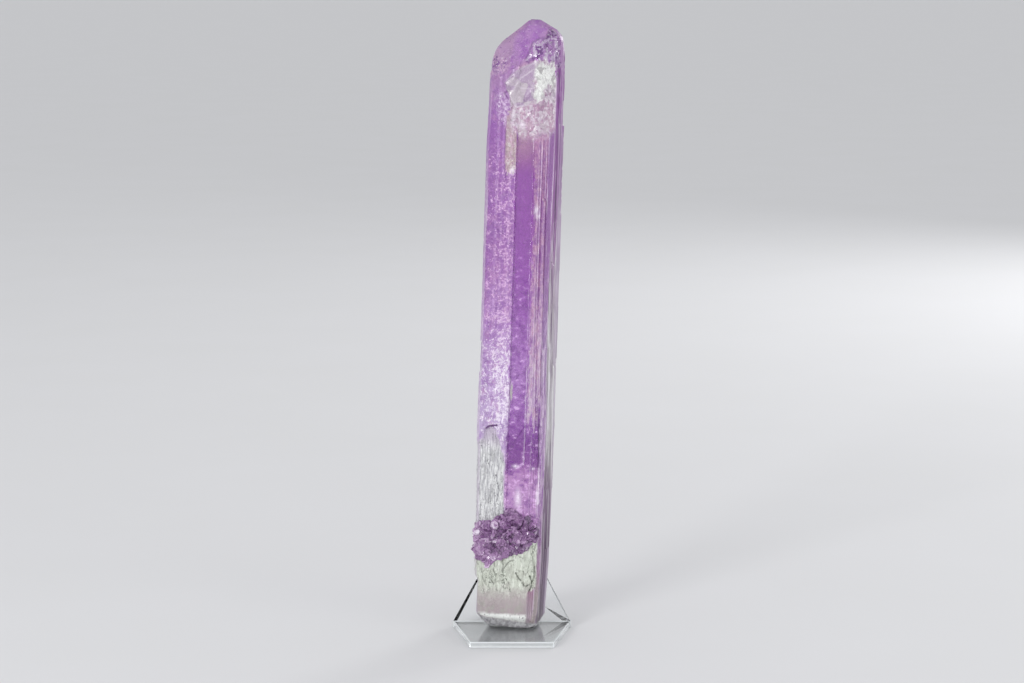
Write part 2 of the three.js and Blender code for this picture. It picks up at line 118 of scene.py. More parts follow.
# The columns: a point of the cross-section, and the face that it lies on.
columns, column_faces, corner_columns = [], [], []
for index, (face, x, y, count) in enumerate(FACES):
    _, next_x, next_y, _ = FACES[(index + 1) % len(FACES)]
    corner_columns.append(len(columns))
    for step in range(count):
        share = step / count
        columns.append((x + (next_x - x) * share, y + (next_y - y) * share))
        column_faces.append(face)

# Each ring looks at the solid from a point of the spine, and the two domes turn the look
# up to the tip and down to the foot.
rings = [(LOW_RING, -angle, FOOT_POLE) for angle in np.linspace(90, 0, FOOT_RINGS + 1)[1:-1]]
for low, high, step in RING_STEPS:
    rings += [(height, 0, FOOT_POLE) for height in np.arange(low, high, step)]
rings += [(HIGH_RING, angle, TOP_POLE) for angle in np.linspace(0, 90, TOP_RINGS + 1)[:-1]]

solid = merged_copy("kunzite_crystal", crystal_place)
solid_tree = BVHTree.FromBMesh(solid)
solid.free()


def outer_hit(inside, direction):
    """Where a look from outside first meets the solid, and how far its face there looks up."""
    far = 90
    spot, normal, _, _ = solid_tree.ray_cast(inside + direction * far, -direction)
    return (*spot, normal.z)


hits, looks = [], []
for height, angle, pole in rings:
    rise, level = math.sin(math.radians(angle)), math.cos(math.radians(angle))
    for x, y in columns:
        side = reach(LEFT_REACH if x < 0 else RIGHT_REACH, height)
        target = Vector((x * side, y * (reach(FRONT_REACH, height) if y < 0 else 1), height))
        spine = Vector((max(-SPINE_HALF_WIDTH, min(SPINE_HALF_WIDTH, 0.6 * x)), 0, height))
        look = (target - spine).normalized() * level + Vector((0, 0, rise))
        hits.append(outer_hit(spine.lerp(pole, 1 - level), look))
        looks.append(look)
down, up = Vector((0, 0, -1)), Vector((0, 0, 1))
hits = np.array([*hits, outer_hit(FOOT_POLE, down), outer_hit(TOP_POLE, up)])
skin, upturn = hits[:, :3], hits[:, 3]
looks = np.array([*looks, down, up])
faces_of = np.array(column_faces * len(rings) + ["foot", "top"])
across = np.array([*range(len(columns))] * len(rings) + [0, 0], float)
x_mm, y_mm, z_mm = skin.T


def grain(size, shift=0.0, spots=skin):
    """Noise from -1 to 1, with grains of a size (x, y, z) in mm."""
    return np.array([noise.noise(Vector(spot)) for spot in spots / size + shift])


def chips(size, shift=0.0):
    """Little flat breaks, each tipped its own way: how far they rise or fall, about -1 to 1."""
    heights = []
    for spot in skin / size + shift:
        spot = Vector(spot)
        centre = noise.voronoi(spot)[1][0]
        lean = noise.cell_vector(centre * 41) - Vector((0.5, 0.5, 0.5))
        heights.append(2.4 * lean.dot(spot - centre) + 0.8 * (noise.cell(centre * 23) - 0.5))
    return np.array(heights)


def soft_step(value, low, high):
    share = np.clip((value - low) / (high - low), 0, 1)
    return share * share * (3 - 2 * share)


def distance_to(points, x, z):
    """How far the spots (x, z) are from a line through points."""
    nearest = np.full(len(x), 1e9)
    for (x1, z1), (x2, z2) in zip(points, points[1:]):
        run = (x2 - x1) ** 2 + (z2 - z1) ** 2
        share = np.clip(((x - x1) * (x2 - x1) + (z - z1) * (z2 - z1)) / run, 0, 1)
        gap = np.hypot(x - x1 - share * (x2 - x1), z - z1 - share * (z2 - z1))
        nearest = np.minimum(nearest, gap)
    return nearest


def within(outline, x, z, blur):
    """1 inside an outline of (x, z) points and 0 outside, soft over a blur in mm."""
    inside = np.zeros(len(x), bool)
    closed = outline + outline[:1]
    for (x1, z1), (x2, z2) in zip(closed, closed[1:]):
        crosses = (z1 > z) != (z2 > z)
        edge_x = x1 + (z - z1) / (z2 - z1 if z2 != z1 else 1e-9) * (x2 - x1)
        inside ^= crosses & (x < edge_x)
    nearest = distance_to(closed, x, z)
    return soft_step(np.where(inside, nearest, -nearest), -blur, blur)


def on(*names):
    return np.isin(faces_of, names).astype(float)


waver = grain((5, 5, 9))
ragged = grain((1.6, 1.6, 3.2), 7.0)
fine_ragged = grain((0.7, 0.7, 1.2), 6.0)
warped_x = x_mm + 0.6 * waver + 0.4 * ragged + 0.25 * fine_ragged
warped_z = z_mm + 1.6 * grain((4, 4, 6), 3.0) + 0.8 * ragged + 0.5 * fine_ragged
front_left = on("left_edge", "plate", "left_step", "channel", "right_step", "right_front")
front = np.maximum(front_left, on("bevel", "shoulder"))

# Where the finish changes, as outlines of (x, z) points on the front.
CHANNEL = [(-4.3, 260), (3.3, 260), (3.3, 0), (-4.3, 0)]
WINDOW = [(-4.8, 84.5), (3.2, 86), (9.2, 88), (9.8, 66), (9.6, 34), (-5.2, 34), (-5.0, 60)]
BLEACH = [
    (-19, 76), (-14.6, 78), (-13.6, 81.5), (-11.4, 83.6), (-9, 82.4), (-7.4, 77), (-5.4, 70),
    (-4.9, 55), (-4.4, 42), (-19, 38),
]
CRUST = [
    (-19, 40.6), (-13.4, 44.6), (-9.8, 43.6), (-7.2, 45.4), (-4.8, 48.6), (-2, 49.8), (1.3, 47.6),
    (4.8, 46.2), (7.2, 43.4), (9.4, 41), (8.8, 38.6), (7.4, 36.4), (6.2, 33.6), (3.8, 32),
    (0.2, 31.2), (-3.8, 30), (-7.8, 28.4), (-11.4, 26.4), (-13.8, 27.6), (-19, 31),
]
ROOT = [(-19, 36), (-19, 1), (5.5, 1), (5.7, 15), (7, 16.4), (9.2, 17.2), (9.4, 38), (2, 36)]
# The wedge facet at the foot is painted near white, as painted light on a lit facet.
LIT_WEDGE = [(-14.8, 6.6), (5.6, 5.9), (5.4, 2.4), (-13.4, 5.2)]
TAN_STRIP = [(-8.7, 211), (-8.9, 189), (-7.6, 186.5), (-4.3, 188), (-4.3, 211)]
SCAR = [
    (-9.8, 222.8), (-1.6, 228.5), (2.2, 232.4), (5.5, 233), (9, 232.8), (12, 230), (12.2, 206),
    (8.4, 203.4), (3, 201.5), (-5.6, 203), (-7.2, 208.5), (-7.2, 217),
]
CLEAVAGE = [
    (-9.8, 223.2), (-6.8, 227), (-2.5, 230), (2.0, 232), (3.4, 229), (2.3, 222.4), (2.6, 217),
    (0, 214.5), (-4.6, 213.4), (-7, 216),
]
SCAR_BRIGHT = [
    (2.4, 229.5), (5.5, 232.6), (10, 231.4), (11.8, 228), (11.8, 221.5), (9.6, 222.3),
    (5.8, 221.6), (5.3, 215.6), (2.8, 216), (2.0, 220), (3.1, 224.3),
]
ETCHED_PATCH = [(-13.4, 218), (-10, 219.5), (-7, 216), (-7, 209), (-9.5, 206), (-12.6, 211)]
STRIP = [
    (-0.6, 251), (-1.4, 247), (-6.2, 242.5), (-7.3, 235), (-8.6, 228), (-3, 231), (0, 236.4),
    (2.4, 241), (6.3, 242), (6, 251),
]
BROKEN_TOP = [
    (-1.8, 232.4), (-0.4, 236.6), (2.2, 241.3), (6.4, 242.4), (7.6, 246.5), (10, 246), (12.2, 240),
    (12.4, 231), (9, 232.4), (5.5, 233), (2.2, 232.4),
]
CRACKS = [
    (1.0, [(0.7, 23.1), (2.0, 21.4), (4.0, 19.0), (4.7, 17.9), (6.7, 18.5)]),
    (0.9, [(-4.8, 28.6), (-4.3, 26.2), (-4.6, 23.4)]),
    (0.8, [(-0.1, 28.6), (-2.0, 28.1), (-3.1, 26.7), (-4.4, 24.8)]),
    (1.0, [(6.6, 22.1), (7.3, 20.0), (7.2, 17.3), (6.1, 14.9)]),
    (0.8, [(8.5, 26.2), (8.8, 22.7), (8.0, 20.0)]),
    (0.8, [(-10.2, 21.0), (-8.0, 18.6), (-6.6, 16.2)]),
    (0.7, [(-8.6, 24.8), (-7.4, 22.1), (-7.7, 19.3)]),
    (0.6, [(-13.7, 24.8), (-12.9, 21.4), (-11.4, 17.9)]),
]
# Creases, painted dark as painted shade in them, and thin bright edges of the cleavage planes,
# painted as highlights: how strong, and a line of (x, z) points.
SHADED_CREASES = [
    (1.6, [(-13.6, 82.4), (-12.2, 83.4), (-10.8, 83.7), (-8.8, 84.1)]),
    (0.9, [(8.5, 89), (8.6, 79), (8.8, 67)]),
    (0.3, [(-2.3, 215), (0.3, 217.8), (2.5, 220.4)]),
    (0.8, [(-1.6, 233.4), (0.1, 237.1), (1.2, 240.4), (4.0, 242.0), (6.8, 242.2), (8.2, 246)]),
    (0.6, [(5.2, 236), (6.4, 239.4), (9, 241), (11, 237)]),
]
# Painted highlights: thin near-white lines along step edges and the cleavage planes' edges.
LIT_RIDGES = [
    (0.5, [(-9.8, 223.2), (-6.8, 227), (-2.5, 230), (2.6, 232)]),
    (0.6, [(-6.4, 220), (-5.4, 222.4), (-3.4, 225.4), (1.8, 229.2)]),
    (0.6, [(-5.4, 222.4), (-1.6, 221.2), (2.3, 221.4)]),
    (0.6, [(-6.8, 216.6), (-4.6, 213.6), (0, 214.6)]),
    (0.4, [(2.6, 96), (2.8, 84), (2.6, 68)]),
    (0.8, [(9.0, 67), (9.1, 60), (9.1, 52)]),
    (1.0, [(11.3, 181), (11.4, 175), (11.1, 167)]),
]
# Bright veils and bruises just under the skin, two of them painted glints by the channel:
# (x, z, half width, half height).
VEILS_AND_GLINTS = [
    (0.9, 54, 1.2, 3.6), (8.5, 54, 0.6, 5), (-0.8, 67.2, 1.2, 0.6), (6.6, 66.6, 1.1, 0.5),
    (4.9, 172, 0.8, 1.8), (5.6, 169.5, 0.9, 0.9), (-6, 188, 0.9, 1.5), (-5.8, 210, 0.8, 4),
    (-2, 206.4, 2, 1.5),
]
SLIVER = (-3.1, 98, 0.55, 4.6)
NICK = (106, 118)  # a shallow nick in the left edge
TRIM_TOP, TRIM_SLOPE = 25.5, 0.3  # below this sloping line the left edge steps in
TRIM_BAND = 3  # how far above and below that line the step is rounded
TRIM_REACH = -10  # the step runs from this x out to the left edge

tip = soft_step(upturn, 0.12, 0.2) * (z_mm > 200) * (1 - front)
tip = np.maximum(tip, soft_step(z_mm + 4 * ragged + 4 * waver, 223, 234) * front)


def spot_light(x, z, half_width, half_height):
    """1 in the middle of a soft oval on the front, fading to 0 around it."""
    off_x, off_z = (warped_x - x) / half_width, (z_mm + 0.7 * fine_ragged - z) / half_height
    return 0.8 * front * np.exp(-(off_x**2) - off_z**2)


# From the first zone to the last, each lies over the ones before it.
frayed = 1.0 * ragged + 1.0 * fine_ragged
strips = grain((0.8, 0.8, 14), 21.0)
window = within(WINDOW, x_mm + 0.4 * frayed, warped_z + 4 * fine_ragged + 14 * strips, 1.2) * front
zones = {
    "plate": on("plate", "left_edge", "left_step"),
    "bevel": on("right_step", "right_front", "bevel"),
    "channel": np.maximum(within(CHANNEL, x_mm + frayed, z_mm, 0.5) * front_left, window),
    "shoulder": on("shoulder") * (1 - 0.6 * window),
    "side": on("right_side", "right_back"),
    "rear": on("back_bevel", "back", "left_back", "left_side"),
    "tip": tip,
    "strip": within(STRIP, warped_x, warped_z, 0.7) * tip * (y_mm < 6),
    "broken_top": within(BROKEN_TOP, warped_x, warped_z, 0.6) * (y_mm < 3),
    "etched": within(ETCHED_PATCH, warped_x, warped_z, 1.8) * front,
    "tan": within(TAN_STRIP, x_mm + 0.2 * fine_ragged, warped_z + 3 * fine_ragged, 0.3) * front,
    "scar": within(SCAR, warped_x, warped_z, 0.5 + 1.5 * (z_mm < 208)) * front,
    "cleavage": within(CLEAVAGE, x_mm, z_mm + 0.3 * ragged, 0.25) * front,
    "scar_bright": within(
        SCAR_BRIGHT, warped_x + 1.2 * ragged, warped_z + 2 * fine_ragged, 1
    ) * front,
    "bleached": within(BLEACH, warped_x, warped_z, 0.5) * front_left,
    "root": within(ROOT, x_mm + 0.3 * ragged, warped_z, 0.4) * front,
    # the heel, below the wedge, is painted grey as painted shade
    "shaded_heel": soft_step(np.interp(x_mm, [-15, 5.4], [5.2, 2.4]) - z_mm, -0.2, 0.2),
    "lit_wedge": within(LIT_WEDGE, x_mm, z_mm + 0.2 * ragged, 0.3) * (y_mm < 0),
    "veils_and_glints": np.max([spot_light(*veil) for veil in VEILS_AND_GLINTS], axis=0),
    "sliver": soft_step(spot_light(*SLIVER), 0.25, 0.5),
    "crust": within(CRUST, x_mm + 0.4 * ragged, z_mm + 0.5 * ragged, 0.35) * front,
}
beside_hollow = on("left_side") * soft_step(-np.abs(warped_z - 58), -24, -16)
zones["bleached"] = np.maximum(zones["bleached"], beside_hollow)
whole = (1 - tip) * (1 - zones["scar"]) * (1 - zones["crust"])


def along(drawn, half_width):
    """Lines of (x, z) points on the front, each as strong as it says, and 0 beside them."""
    strengths = []
    for strength, points in drawn:
        gap = distance_to(points, x_mm + 0.3 * ragged, z_mm + 0.4 * ragged)
        strengths.append(strength * (1 - soft_step(gap, 0.4 * half_width, half_width)))
    return np.max(strengths, axis=0) * front


zones["shaded_creases"] = along(SHADED_CREASES, 0.5)
zones["lit_ridges"] = along(LIT_RIDGES, 0.45)
zones["cracks"] = along(CRACKS, 0.42)

# Worn white lines run down the corners: partly wear, and partly a painted highlight where the
# corners catch the light.
corner_gap = np.min([np.abs(across - corner) for corner in corner_columns], axis=0)
zones["edges"] = soft_step(-corner_gap, -1.2, -0.2) * soft_step(grain((3, 3, 14), 9.0), -0.1, 0.4)
zones["edges"] *= whole * (1 - zones["root"]) * (1 - zones["bleached"]) * (z_mm > 8)
zones["edges"] *= (1 - 0.6 * window) * (1 - 0.7 * on("channel", "left_step", "right_front"))
zones["edges"] *= 1 - 0.75 * on("right_step", "bevel") * soft_step(z_mm, 110, 140)
# Painted highlights run along the rims: the right side's back edge and the left edge's front.
right_rim_highlight = on("right_side") * soft_step(y_mm, 0.2, 1.6) + on("right_back")
left_rim_highlight = on("left_edge") * soft_step(-y_mm, 3.8, 5)
zones["rim_highlights"] = np.maximum(right_rim_highlight, left_rim_highlight) * whole

# Growth lines run along the crystal: its columns fall into ribs, and each rib is broken into
# ledges of its own length, with finer lines over them.
COLUMNS_PER_RIB = 2.5
SHORTEST_LEDGE, LEDGE_SPREAD = 9, 26
ribs = np.floor(across / COLUMNS_PER_RIB + 0.8 * grain((9, 9, 30), 1.5)) + 0.5
ledges = []
for rib, height in zip(ribs, z_mm):
    length = SHORTEST_LEDGE + LEDGE_SPREAD * noise.cell(Vector((rib, 7, 7)))
    ledges.append(noise.cell(Vector((rib, 0.5 + height / length, 2))))
ledges = np.array(ledges)
lines = grain(1, 0.0, np.stack([across / 1.3, z_mm / 24, 0 * z_mm], 1))

# The break's hollows, and the step below the crust, are rounded before their chips are cut.
SMOOTHING_PASSES = 8
around = len(columns)
grid = skin[:-2].reshape(len(rings), around, 3)
broken = np.maximum(zones["scar"], zones["broken_top"])
above_trim = z_mm - TRIM_TOP - TRIM_SLOPE * x_mm
broken = np.maximum(broken, (np.abs(above_trim) < TRIM_BAND) * (x_mm < TRIM_REACH))
broken = broken[:-2].reshape(len(rings), around, 1)
for _ in range(SMOOTHING_PASSES):
    neighbours = [np.roll(grid, shift, axis) for shift in (1, -1) for axis in (0, 1)]
    grid += broken * (np.mean(neighbours, axis=0) - grid)

# How deep the finish is cut into each part of the skin, in mm: growth lines and low etch hillocks
# first, then what broke off, what was etched away and the lumps under the mica.
DEEPEST_CUT = 1.6
CHANNEL_Y = -7.4
ROOT_SINK = 0.25  # how far behind the channel's floor the foot's front lies
striated = on("bevel", "shoulder", "right_front", "right_side", "right_back")
striated = (striated + 0.8 * zones["rear"]) * whole * (1 - zones["root"])
striated *= 1 - 0.9 * on("right_front", "bevel") * soft_step(z_mm, 80, 110)
striated *= 1 - 0.6 * on("shoulder") * soft_step(z_mm, 125, 155)
striated *= 0.3 + 0.7 * soft_step(z_mm, 14, 34)
hillocks = grain((1.6, 1.6, 2.2)) * soft_step(grain((6, 6, 14)), -0.4, 0.3)
depth = striated * (0.18 * ledges + 0.12 * np.clip(lines + 0.4, 0, 1))
depth += on("plate", "left_edge") * whole * (0.12 + 0.12 * hillocks)
depth += on("channel") * whole * 0.05 * (1 + grain((3, 3, 1.6)))
depth += on("left_edge") * 0.5 * soft_step(z_mm, NICK[0] - 1, NICK[0]) * (z_mm < NICK[1])
rough_scar = zones["scar"] * (1 - 0.85 * zones["cleavage"])
depth += rough_scar * 0.24 * (1 + chips((2.6, 2.6, 3.4)))
depth += rough_scar * 0.13 * (1 + chips((1.1, 1.1, 1.3), 2.0))
depth += zones["cleavage"] * 0.31
depth += zones["broken_top"] * (0.5 * (1 + chips((2.2, 2.2, 2.2), 3.0)) + 0.2 * fine_ragged)
depth += zones["etched"] * (0.15 + 0.2 * grain((0.9, 0.9, 1.1), 5.0))
depth += zones["tan"] * whole * (0.12 + 0.12 * grain((0.7, 0.7, 1.6)))
fibres = grain((0.55, 0.55, 4.2))
depth += zones["bleached"] * (0.2 + 0.2 * fibres + 0.12 * grain((0.5, 0.5, 0.9)))
depth += zones["root"] * (0.12 + 0.1 * fibres + 0.06 * (1 + chips((3, 3, 4), 1.0)))
depth += zones["shaded_creases"] * 0.35 + zones["cracks"] * 0.2
lumps = chips((3.4, 3.4, 2.8), 6.0) + 0.45 * chips((1.4, 1.4, 1.3), 2.5)
depth += zones["crust"] * 0.5 * (1.3 + lumps)
skin = skin - looks * np.clip(depth, 0, DEEPEST_CUT)[:, None]
channel_floor = CHANNEL_Y * np.interp(z_mm, *FRONT_REACH[:2])
skin[:, 1] += zones["root"] * np.clip(channel_floor + ROOT_SINK - skin[:, 1], 0, None)

quads = [
    (row + column, row + (column + 1) % around, row + around + (column + 1) % around,
     row + around + column)
    for row in range(0, (len(rings) - 1) * around, around)
    for column in range(around)
]
foot_spot, last_ring = len(rings) * around, (len(rings) - 1) * around
for column in range(around):
    next_column = (column + 1) % around
    quads.append((foot_spot, next_column, column))
    quads.append((foot_spot + 1, last_ring + column, last_ring + next_column))

crystal_mesh = bpy.data.meshes.new("kunzite")
crystal_mesh.from_pydata([crystal_place @ Vector(spot) for spot in skin], [], quads)
crystal_mesh.shade_smooth()

# How milky and how dull each zone is, from 0, clear and glossy, to 1.
MILK = {
    "plate": 0.72, "bevel": 0.66, "channel": 0.4, "shoulder": 0.6, "side": 0.85, "rear": 0.5,
    "tip": 0.7, "strip": 0.6, "broken_top": 0.45, "etched": 0.75, "tan": 0.75, "scar": 0.65,
    "cleavage": 0.8, "scar_bright": 0.95, "bleached": 0.95, "root": 0.9, "shaded_heel": 0.8,
    "lit_wedge": 0.97, "veils_and_glints": 0.9, "sliver": 0.8, "shaded_creases": 0.8, "lit_ridges": 0.8, "cracks": 0.9,
    "edges": 0.8, "rim_highlights": 0.85, "crust": 1.0,
}
DULL = {
    "plate": 0.42, "bevel": 0.3, "channel": 0.06, "shoulder": 0.2, "side": 0.32, "rear": 0.35,
    "tip": 0.25, "strip": 0.1, "broken_top": 0.1, "etched": 0.4, "tan": 0.4, "scar": 0.2,
    "cleavage": 0.08, "scar_bright": 0.3, "bleached": 0.7, "root": 0.5, "shaded_heel": 0.15,
    "lit_wedge": 0.4, "veils_and_glints": 0.3, "sliver": 0.3, "shaded_creases": 0.5, "lit_ridges": 0.3, "cracks": 0.6,
    "edges": 0.3, "rim_highlights": 0.3, "crust": 0.3,
}
milk, dull = np.full(len(skin), 0.4), np.full(len(skin), 0.3)
for name in MILK:
    milk += zones[name] * (MILK[name] - milk)
    dull += zones[name] * (DULL[name] - dull)
milk += (1 - milk) * 0.85 * soft_step(-z_mm, -40, -16)  # all of the foot is cloudy
for name, strength in {**zones, "milk": milk, "dull": dull}.items():
    layer = crystal_mesh.attributes.new(name, "FLOAT", "POINT")
    layer.data.foreach_set("value", strength.astype(np.float32))
crystal_mesh.set_sharp_from_angle(angle=math.radians(38))
crystal = bpy.data.objects.new("kunzite_blade", crystal_mesh)
bpy.context.scene.collection.objects.link(crystal)


class Reading:
    """A number, colour or place at each point. Its operators add the Math nodes."""

    def __init__(self, bench, socket):
        self.bench, self.socket = bench, socket

    def beside(self, output):
        """Another output of the same node."""
        return Reading(self.bench, self.socket.node.outputs[output])

    def maths(self, operation, *values):
        return self.bench.node("ShaderNodeMath", {"operation": operation}, dict(enumerate(values)))

    def __add__(self, other):
        return self.maths("ADD", self, other)

    def __sub__(self, other):
        return self.maths("SUBTRACT", self, other)

    def __rsub__(self, other):
        return self.maths("SUBTRACT", other, self)

    def __mul__(self, other):
        return self.maths("MULTIPLY", self, other)

    __radd__, __rmul__ = __add__, __mul__

    def __abs__(self):
        return self.maths("ABSOLUTE", self)

    def or_more(self, other):
        return self.maths("MAXIMUM", self, other)

    def ramp(self, low, high, start=0.0, end=1.0):
        """A soft step from start to end while this goes from low to high."""
        levels = {0: self, 1: low, 2: high, 3: start, 4: end}
        return self.bench.node("ShaderNodeMapRange", {"interpolation_type": "SMOOTHSTEP"}, levels)


class Bench:
    """A node tree under construction."""

    def __init__(self, tree):
        self.tree = tree
        tree.nodes.clear()

    def node(self, kind, settings=None, inputs=None, output=0):
        made = self.tree.nodes.new(kind)
        settings = dict(settings or {})
        stops = settings.pop("stops", [])
        for name, value in settings.items():
            setattr(made, name, value)
        for index, (position, colour) in enumerate(stops):
            elements = made.color_ramp.elements
            element = elements[index] if index < 2 else elements.new(position)
            element.position, element.color = position, (*colour, 1)
        for key, value in (inputs or {}).items():
            if isinstance(value, Reading):
                self.tree.links.new(value.socket, made.inputs[key])
            else:
                made.inputs[key].default_value = value
        return Reading(self, made.outputs[output]) if made.outputs else None

    def vectors(self, operation, first, second, third=None, output=0):
        inputs = {0: first, 1: second} if third is None else {0: first, 1: second, 2: third}
        return self.node("ShaderNodeVectorMath", {"operation": operation}, inputs, output)

    def speckle(self, spots, size, detail=2.0, roughness=0.5, shift=0.0, output=0):
        """Noise from 0 to 1 with grains of a size (x, y, z) in the units of the spots."""
        scale = [1 / length for length in size]
        moved = self.vectors("MULTIPLY_ADD", spots, scale, (shift, shift, shift))
        inputs = {"Vector": moved, "Scale": 1.0, "Detail": detail, "Roughness": roughness}
        return self.node("ShaderNodeTexNoise", {}, inputs, output)


class Finish(Bench):
    """A material under construction."""

    def __init__(self, name):
        self.material = bpy.data.materials.new(name)
        self.material.use_nodes = True
        super().__init__(self.material.node_tree)

    def blend(self, share, first, second):
        """The first colour where the share is 0 and the second where it is 1."""
        first, second = ((*c, 1) if isinstance(c, tuple) else c for c in (first, second))
        return self.node("ShaderNodeMix", {"data_type": "RGBA"}, {0: share, 6: first, 7: second}, 2)

    def colours(self, value, low, high, stops):
        """Colours in turn while a value goes from low to high; the stops are in its own units."""
        share = self.node("ShaderNodeMapRange", {}, {0: value, 1: low, 2: high})
        stops = [((at - low) / (high - low), colour) for at, colour in stops]
        return self.node("ShaderNodeValToRGB", {"stops": stops}, {0: share})

    def mask(self, name):
        return self.node("ShaderNodeAttribute", {"attribute_name": name}, output="Fac")

    def threads(self, spots, size, width, shift=0.0):
        """Thin winding lines: 1 along them and 0 between them."""
        wave = self.speckle(spots, size, 2, 0.55, shift)
        return abs(wave - 0.5).ramp(width, width * 0.3)

    def shards(self, spots, size, shift=0.0):
        """Flat chips about a size (x, y, z) wide: how light each is, and how high it is there."""
        scale = [1 / length for length in size]
        moved = self.vectors("MULTIPLY_ADD", spots, scale, (shift, shift, shift))
        chip = self.node("ShaderNodeTexVoronoi", {}, {"Vector": moved, "Scale": 1.0}, "Color")
        lean = self.vectors("SUBTRACT", chip, (0.5, 0.5, 0.5))
        away = self.vectors("SUBTRACT", moved, chip.beside("Position"))
        return chip, self.vectors("DOT_PRODUCT", lean, away, output="Value")

    def bump(self, height, distance, strength=1.0):
        inputs = {"Height": height, "Distance": distance, "Strength": strength}
        return self.node("ShaderNodeBump", {}, inputs)

    def shader(self, **inputs):
        named = {name.replace("_", " "): value for name, value in inputs.items()}
        return self.node("ShaderNodeBsdfPrincipled", {}, named)


def paint(red, green, blue):
    """A colour as a screen shows it, from 0 to 255, for a shader."""
    return tuple((part / 255) ** 2.2 for part in (red, green, blue))


kunzite = Finish("kunzite")
place = kunzite.node(
    "ShaderNodeMapping",
    {"vector_type": "TEXTURE"},
    {
        "Vector": kunzite.node("ShaderNodeTexCoord", output="Object"),
        "Location": (0, 0, FOOT_HEIGHT * MM),
        "Rotation": crystal_lean.to_euler("XYZ"),
        "Scale": (MM, MM, MM),
    },
)
place_x = kunzite.node("ShaderNodeSeparateXYZ", {}, {0: place}, "X")
place_z = place_x.beside("Z")
masks = {name: kunzite.mask(name) for name in [*zones, "milk", "dull"]}

sway = kunzite.speckle(place, (2.4, 2.4, 4), 2, 0.5, 8.0, output="Color")
rough_sway = kunzite.speckle(place, (0.9, 0.9, 1.1), 2, 0.6, 27.0, output="Color")
bent = kunzite.vectors("MULTIPLY_ADD", sway, (2.4, 2.4, 4.0), place)
bands = kunzite.speckle(bent, (1.2, 1.2, 16), 2, 0.5)
streaks = kunzite.speckle(place, (0.75, 0.75, 11), 3, 0.6, 1.0)
hairs = kunzite.speckle(place, (0.45, 0.45, 4.5), 2, 0.6, 3.0)
flecks = kunzite.speckle(bent, (1.1, 1.1, 1.5), 3, 0.7, 5.0)
patches = kunzite.speckle(bent, (2.2, 2.2, 4), 3, 0.6, 2.0)
blotches = kunzite.speckle(place, (4, 4, 4.5), 3, 0.6, 6.0)
long_lines = kunzite.speckle(place, (0.9, 0.9, 55), 3, 0.6, 14.0)
clouds = kunzite.speckle(place, (6, 6, 15), 2, 0.5, 9.0)
ripples = kunzite.speckle(place, (2.6, 2.6, 1.8), 4, 0.65, 4.0)
soot = kunzite.speckle(bent, (0.5, 0.5, 1.7), 2, 0.6, 11.0)
threads = kunzite.threads(place, (1.5, 1.5, 2.2), 0.045)
curls = kunzite.threads(place, (2.6, 2.6, 2.6), 0.042, 31.0)
worms = kunzite.threads(bent, (1.7, 1.7, 1.7), 0.05, 44.0)
fine_threads = kunzite.threads(place, (0.85, 0.85, 1.0), 0.06, 13.0)
# Painted glints: tiny white dots that stand in for sparkles of lamp light.
glints = kunzite.speckle(place, (0.9, 0.9, 1.0), 1, 0.5, 23.0).ramp(0.66, 0.72)
dark_threads = kunzite.threads(bent, (1.3, 1.3, 4.5), 0.016, 17.0)
chip_tone, chip_height = kunzite.shards(bent, (2.6, 2.6, 3.4))
grit_tone, grit_height = kunzite.shards(bent, (1.1, 1.1, 1.3), 3.0)

# The etched plate is lilac with violet bands, pale winding etch lines, painted white glints and
# white frost lower down.
# The white of frost, also used for the painted glints.
FROST_AND_GLINT_WHITE = paint(238, 230, 241)
frosting = place_z.ramp(136, 104) * place_z.ramp(66, 80)
plate_colour = kunzite.colours(
    place_z + (clouds - 0.5) * 30, 70, 240,
    [
        (82, paint(196, 174, 214)), (108, paint(184, 150, 202)), (128, paint(170, 122, 188)),
        (156, paint(152, 94, 168)), (200, paint(146, 84, 166)), (212, paint(146, 86, 168)),
        (222, paint(160, 116, 170)),
    ],
)
plate_colour = kunzite.blend(blotches.ramp(0.5, 0.36) * 0.5, plate_colour, paint(136, 84, 162))
plate_colour = kunzite.blend(patches.ramp(0.5, 0.66) * 0.5, plate_colour, paint(178, 122, 176))
frost = flecks * 0.7 + patches * 0.5 + clouds * 0.2
frost = (frost + frosting * (0.07 + place_x.ramp(-13, -6) * 0.1)).ramp(0.87, 0.95)
inner = place_x.ramp(-13, -7)
higher = place_z.ramp(125, 150)
etch_lines_and_glints = curls * (blotches + inner * 0.08 - higher * 0.04).ramp(0.48, 0.56) * 0.75
etch_lines_and_glints = etch_lines_and_glints.or_more(worms * (ripples + inner * 0.06 - higher * 0.03).ramp(0.5, 0.55) * 0.75)
# painted glints join the etch lines
etch_lines_and_glints = etch_lines_and_glints.or_more(glints * 0.9) * (place_z + blotches * 20).ramp(214, 202, 0.12)
plate_white = (frost * 0.85).or_more(etch_lines_and_glints)
etch_white = kunzite.blend(frosting, paint(214, 174, 214), FROST_AND_GLINT_WHITE)
plate_colour = kunzite.blend(plate_white, plate_colour, etch_white)
plate_colour = kunzite.blend(soot.ramp(0.64, 0.7) * 0.35, plate_colour, paint(96, 66, 110))

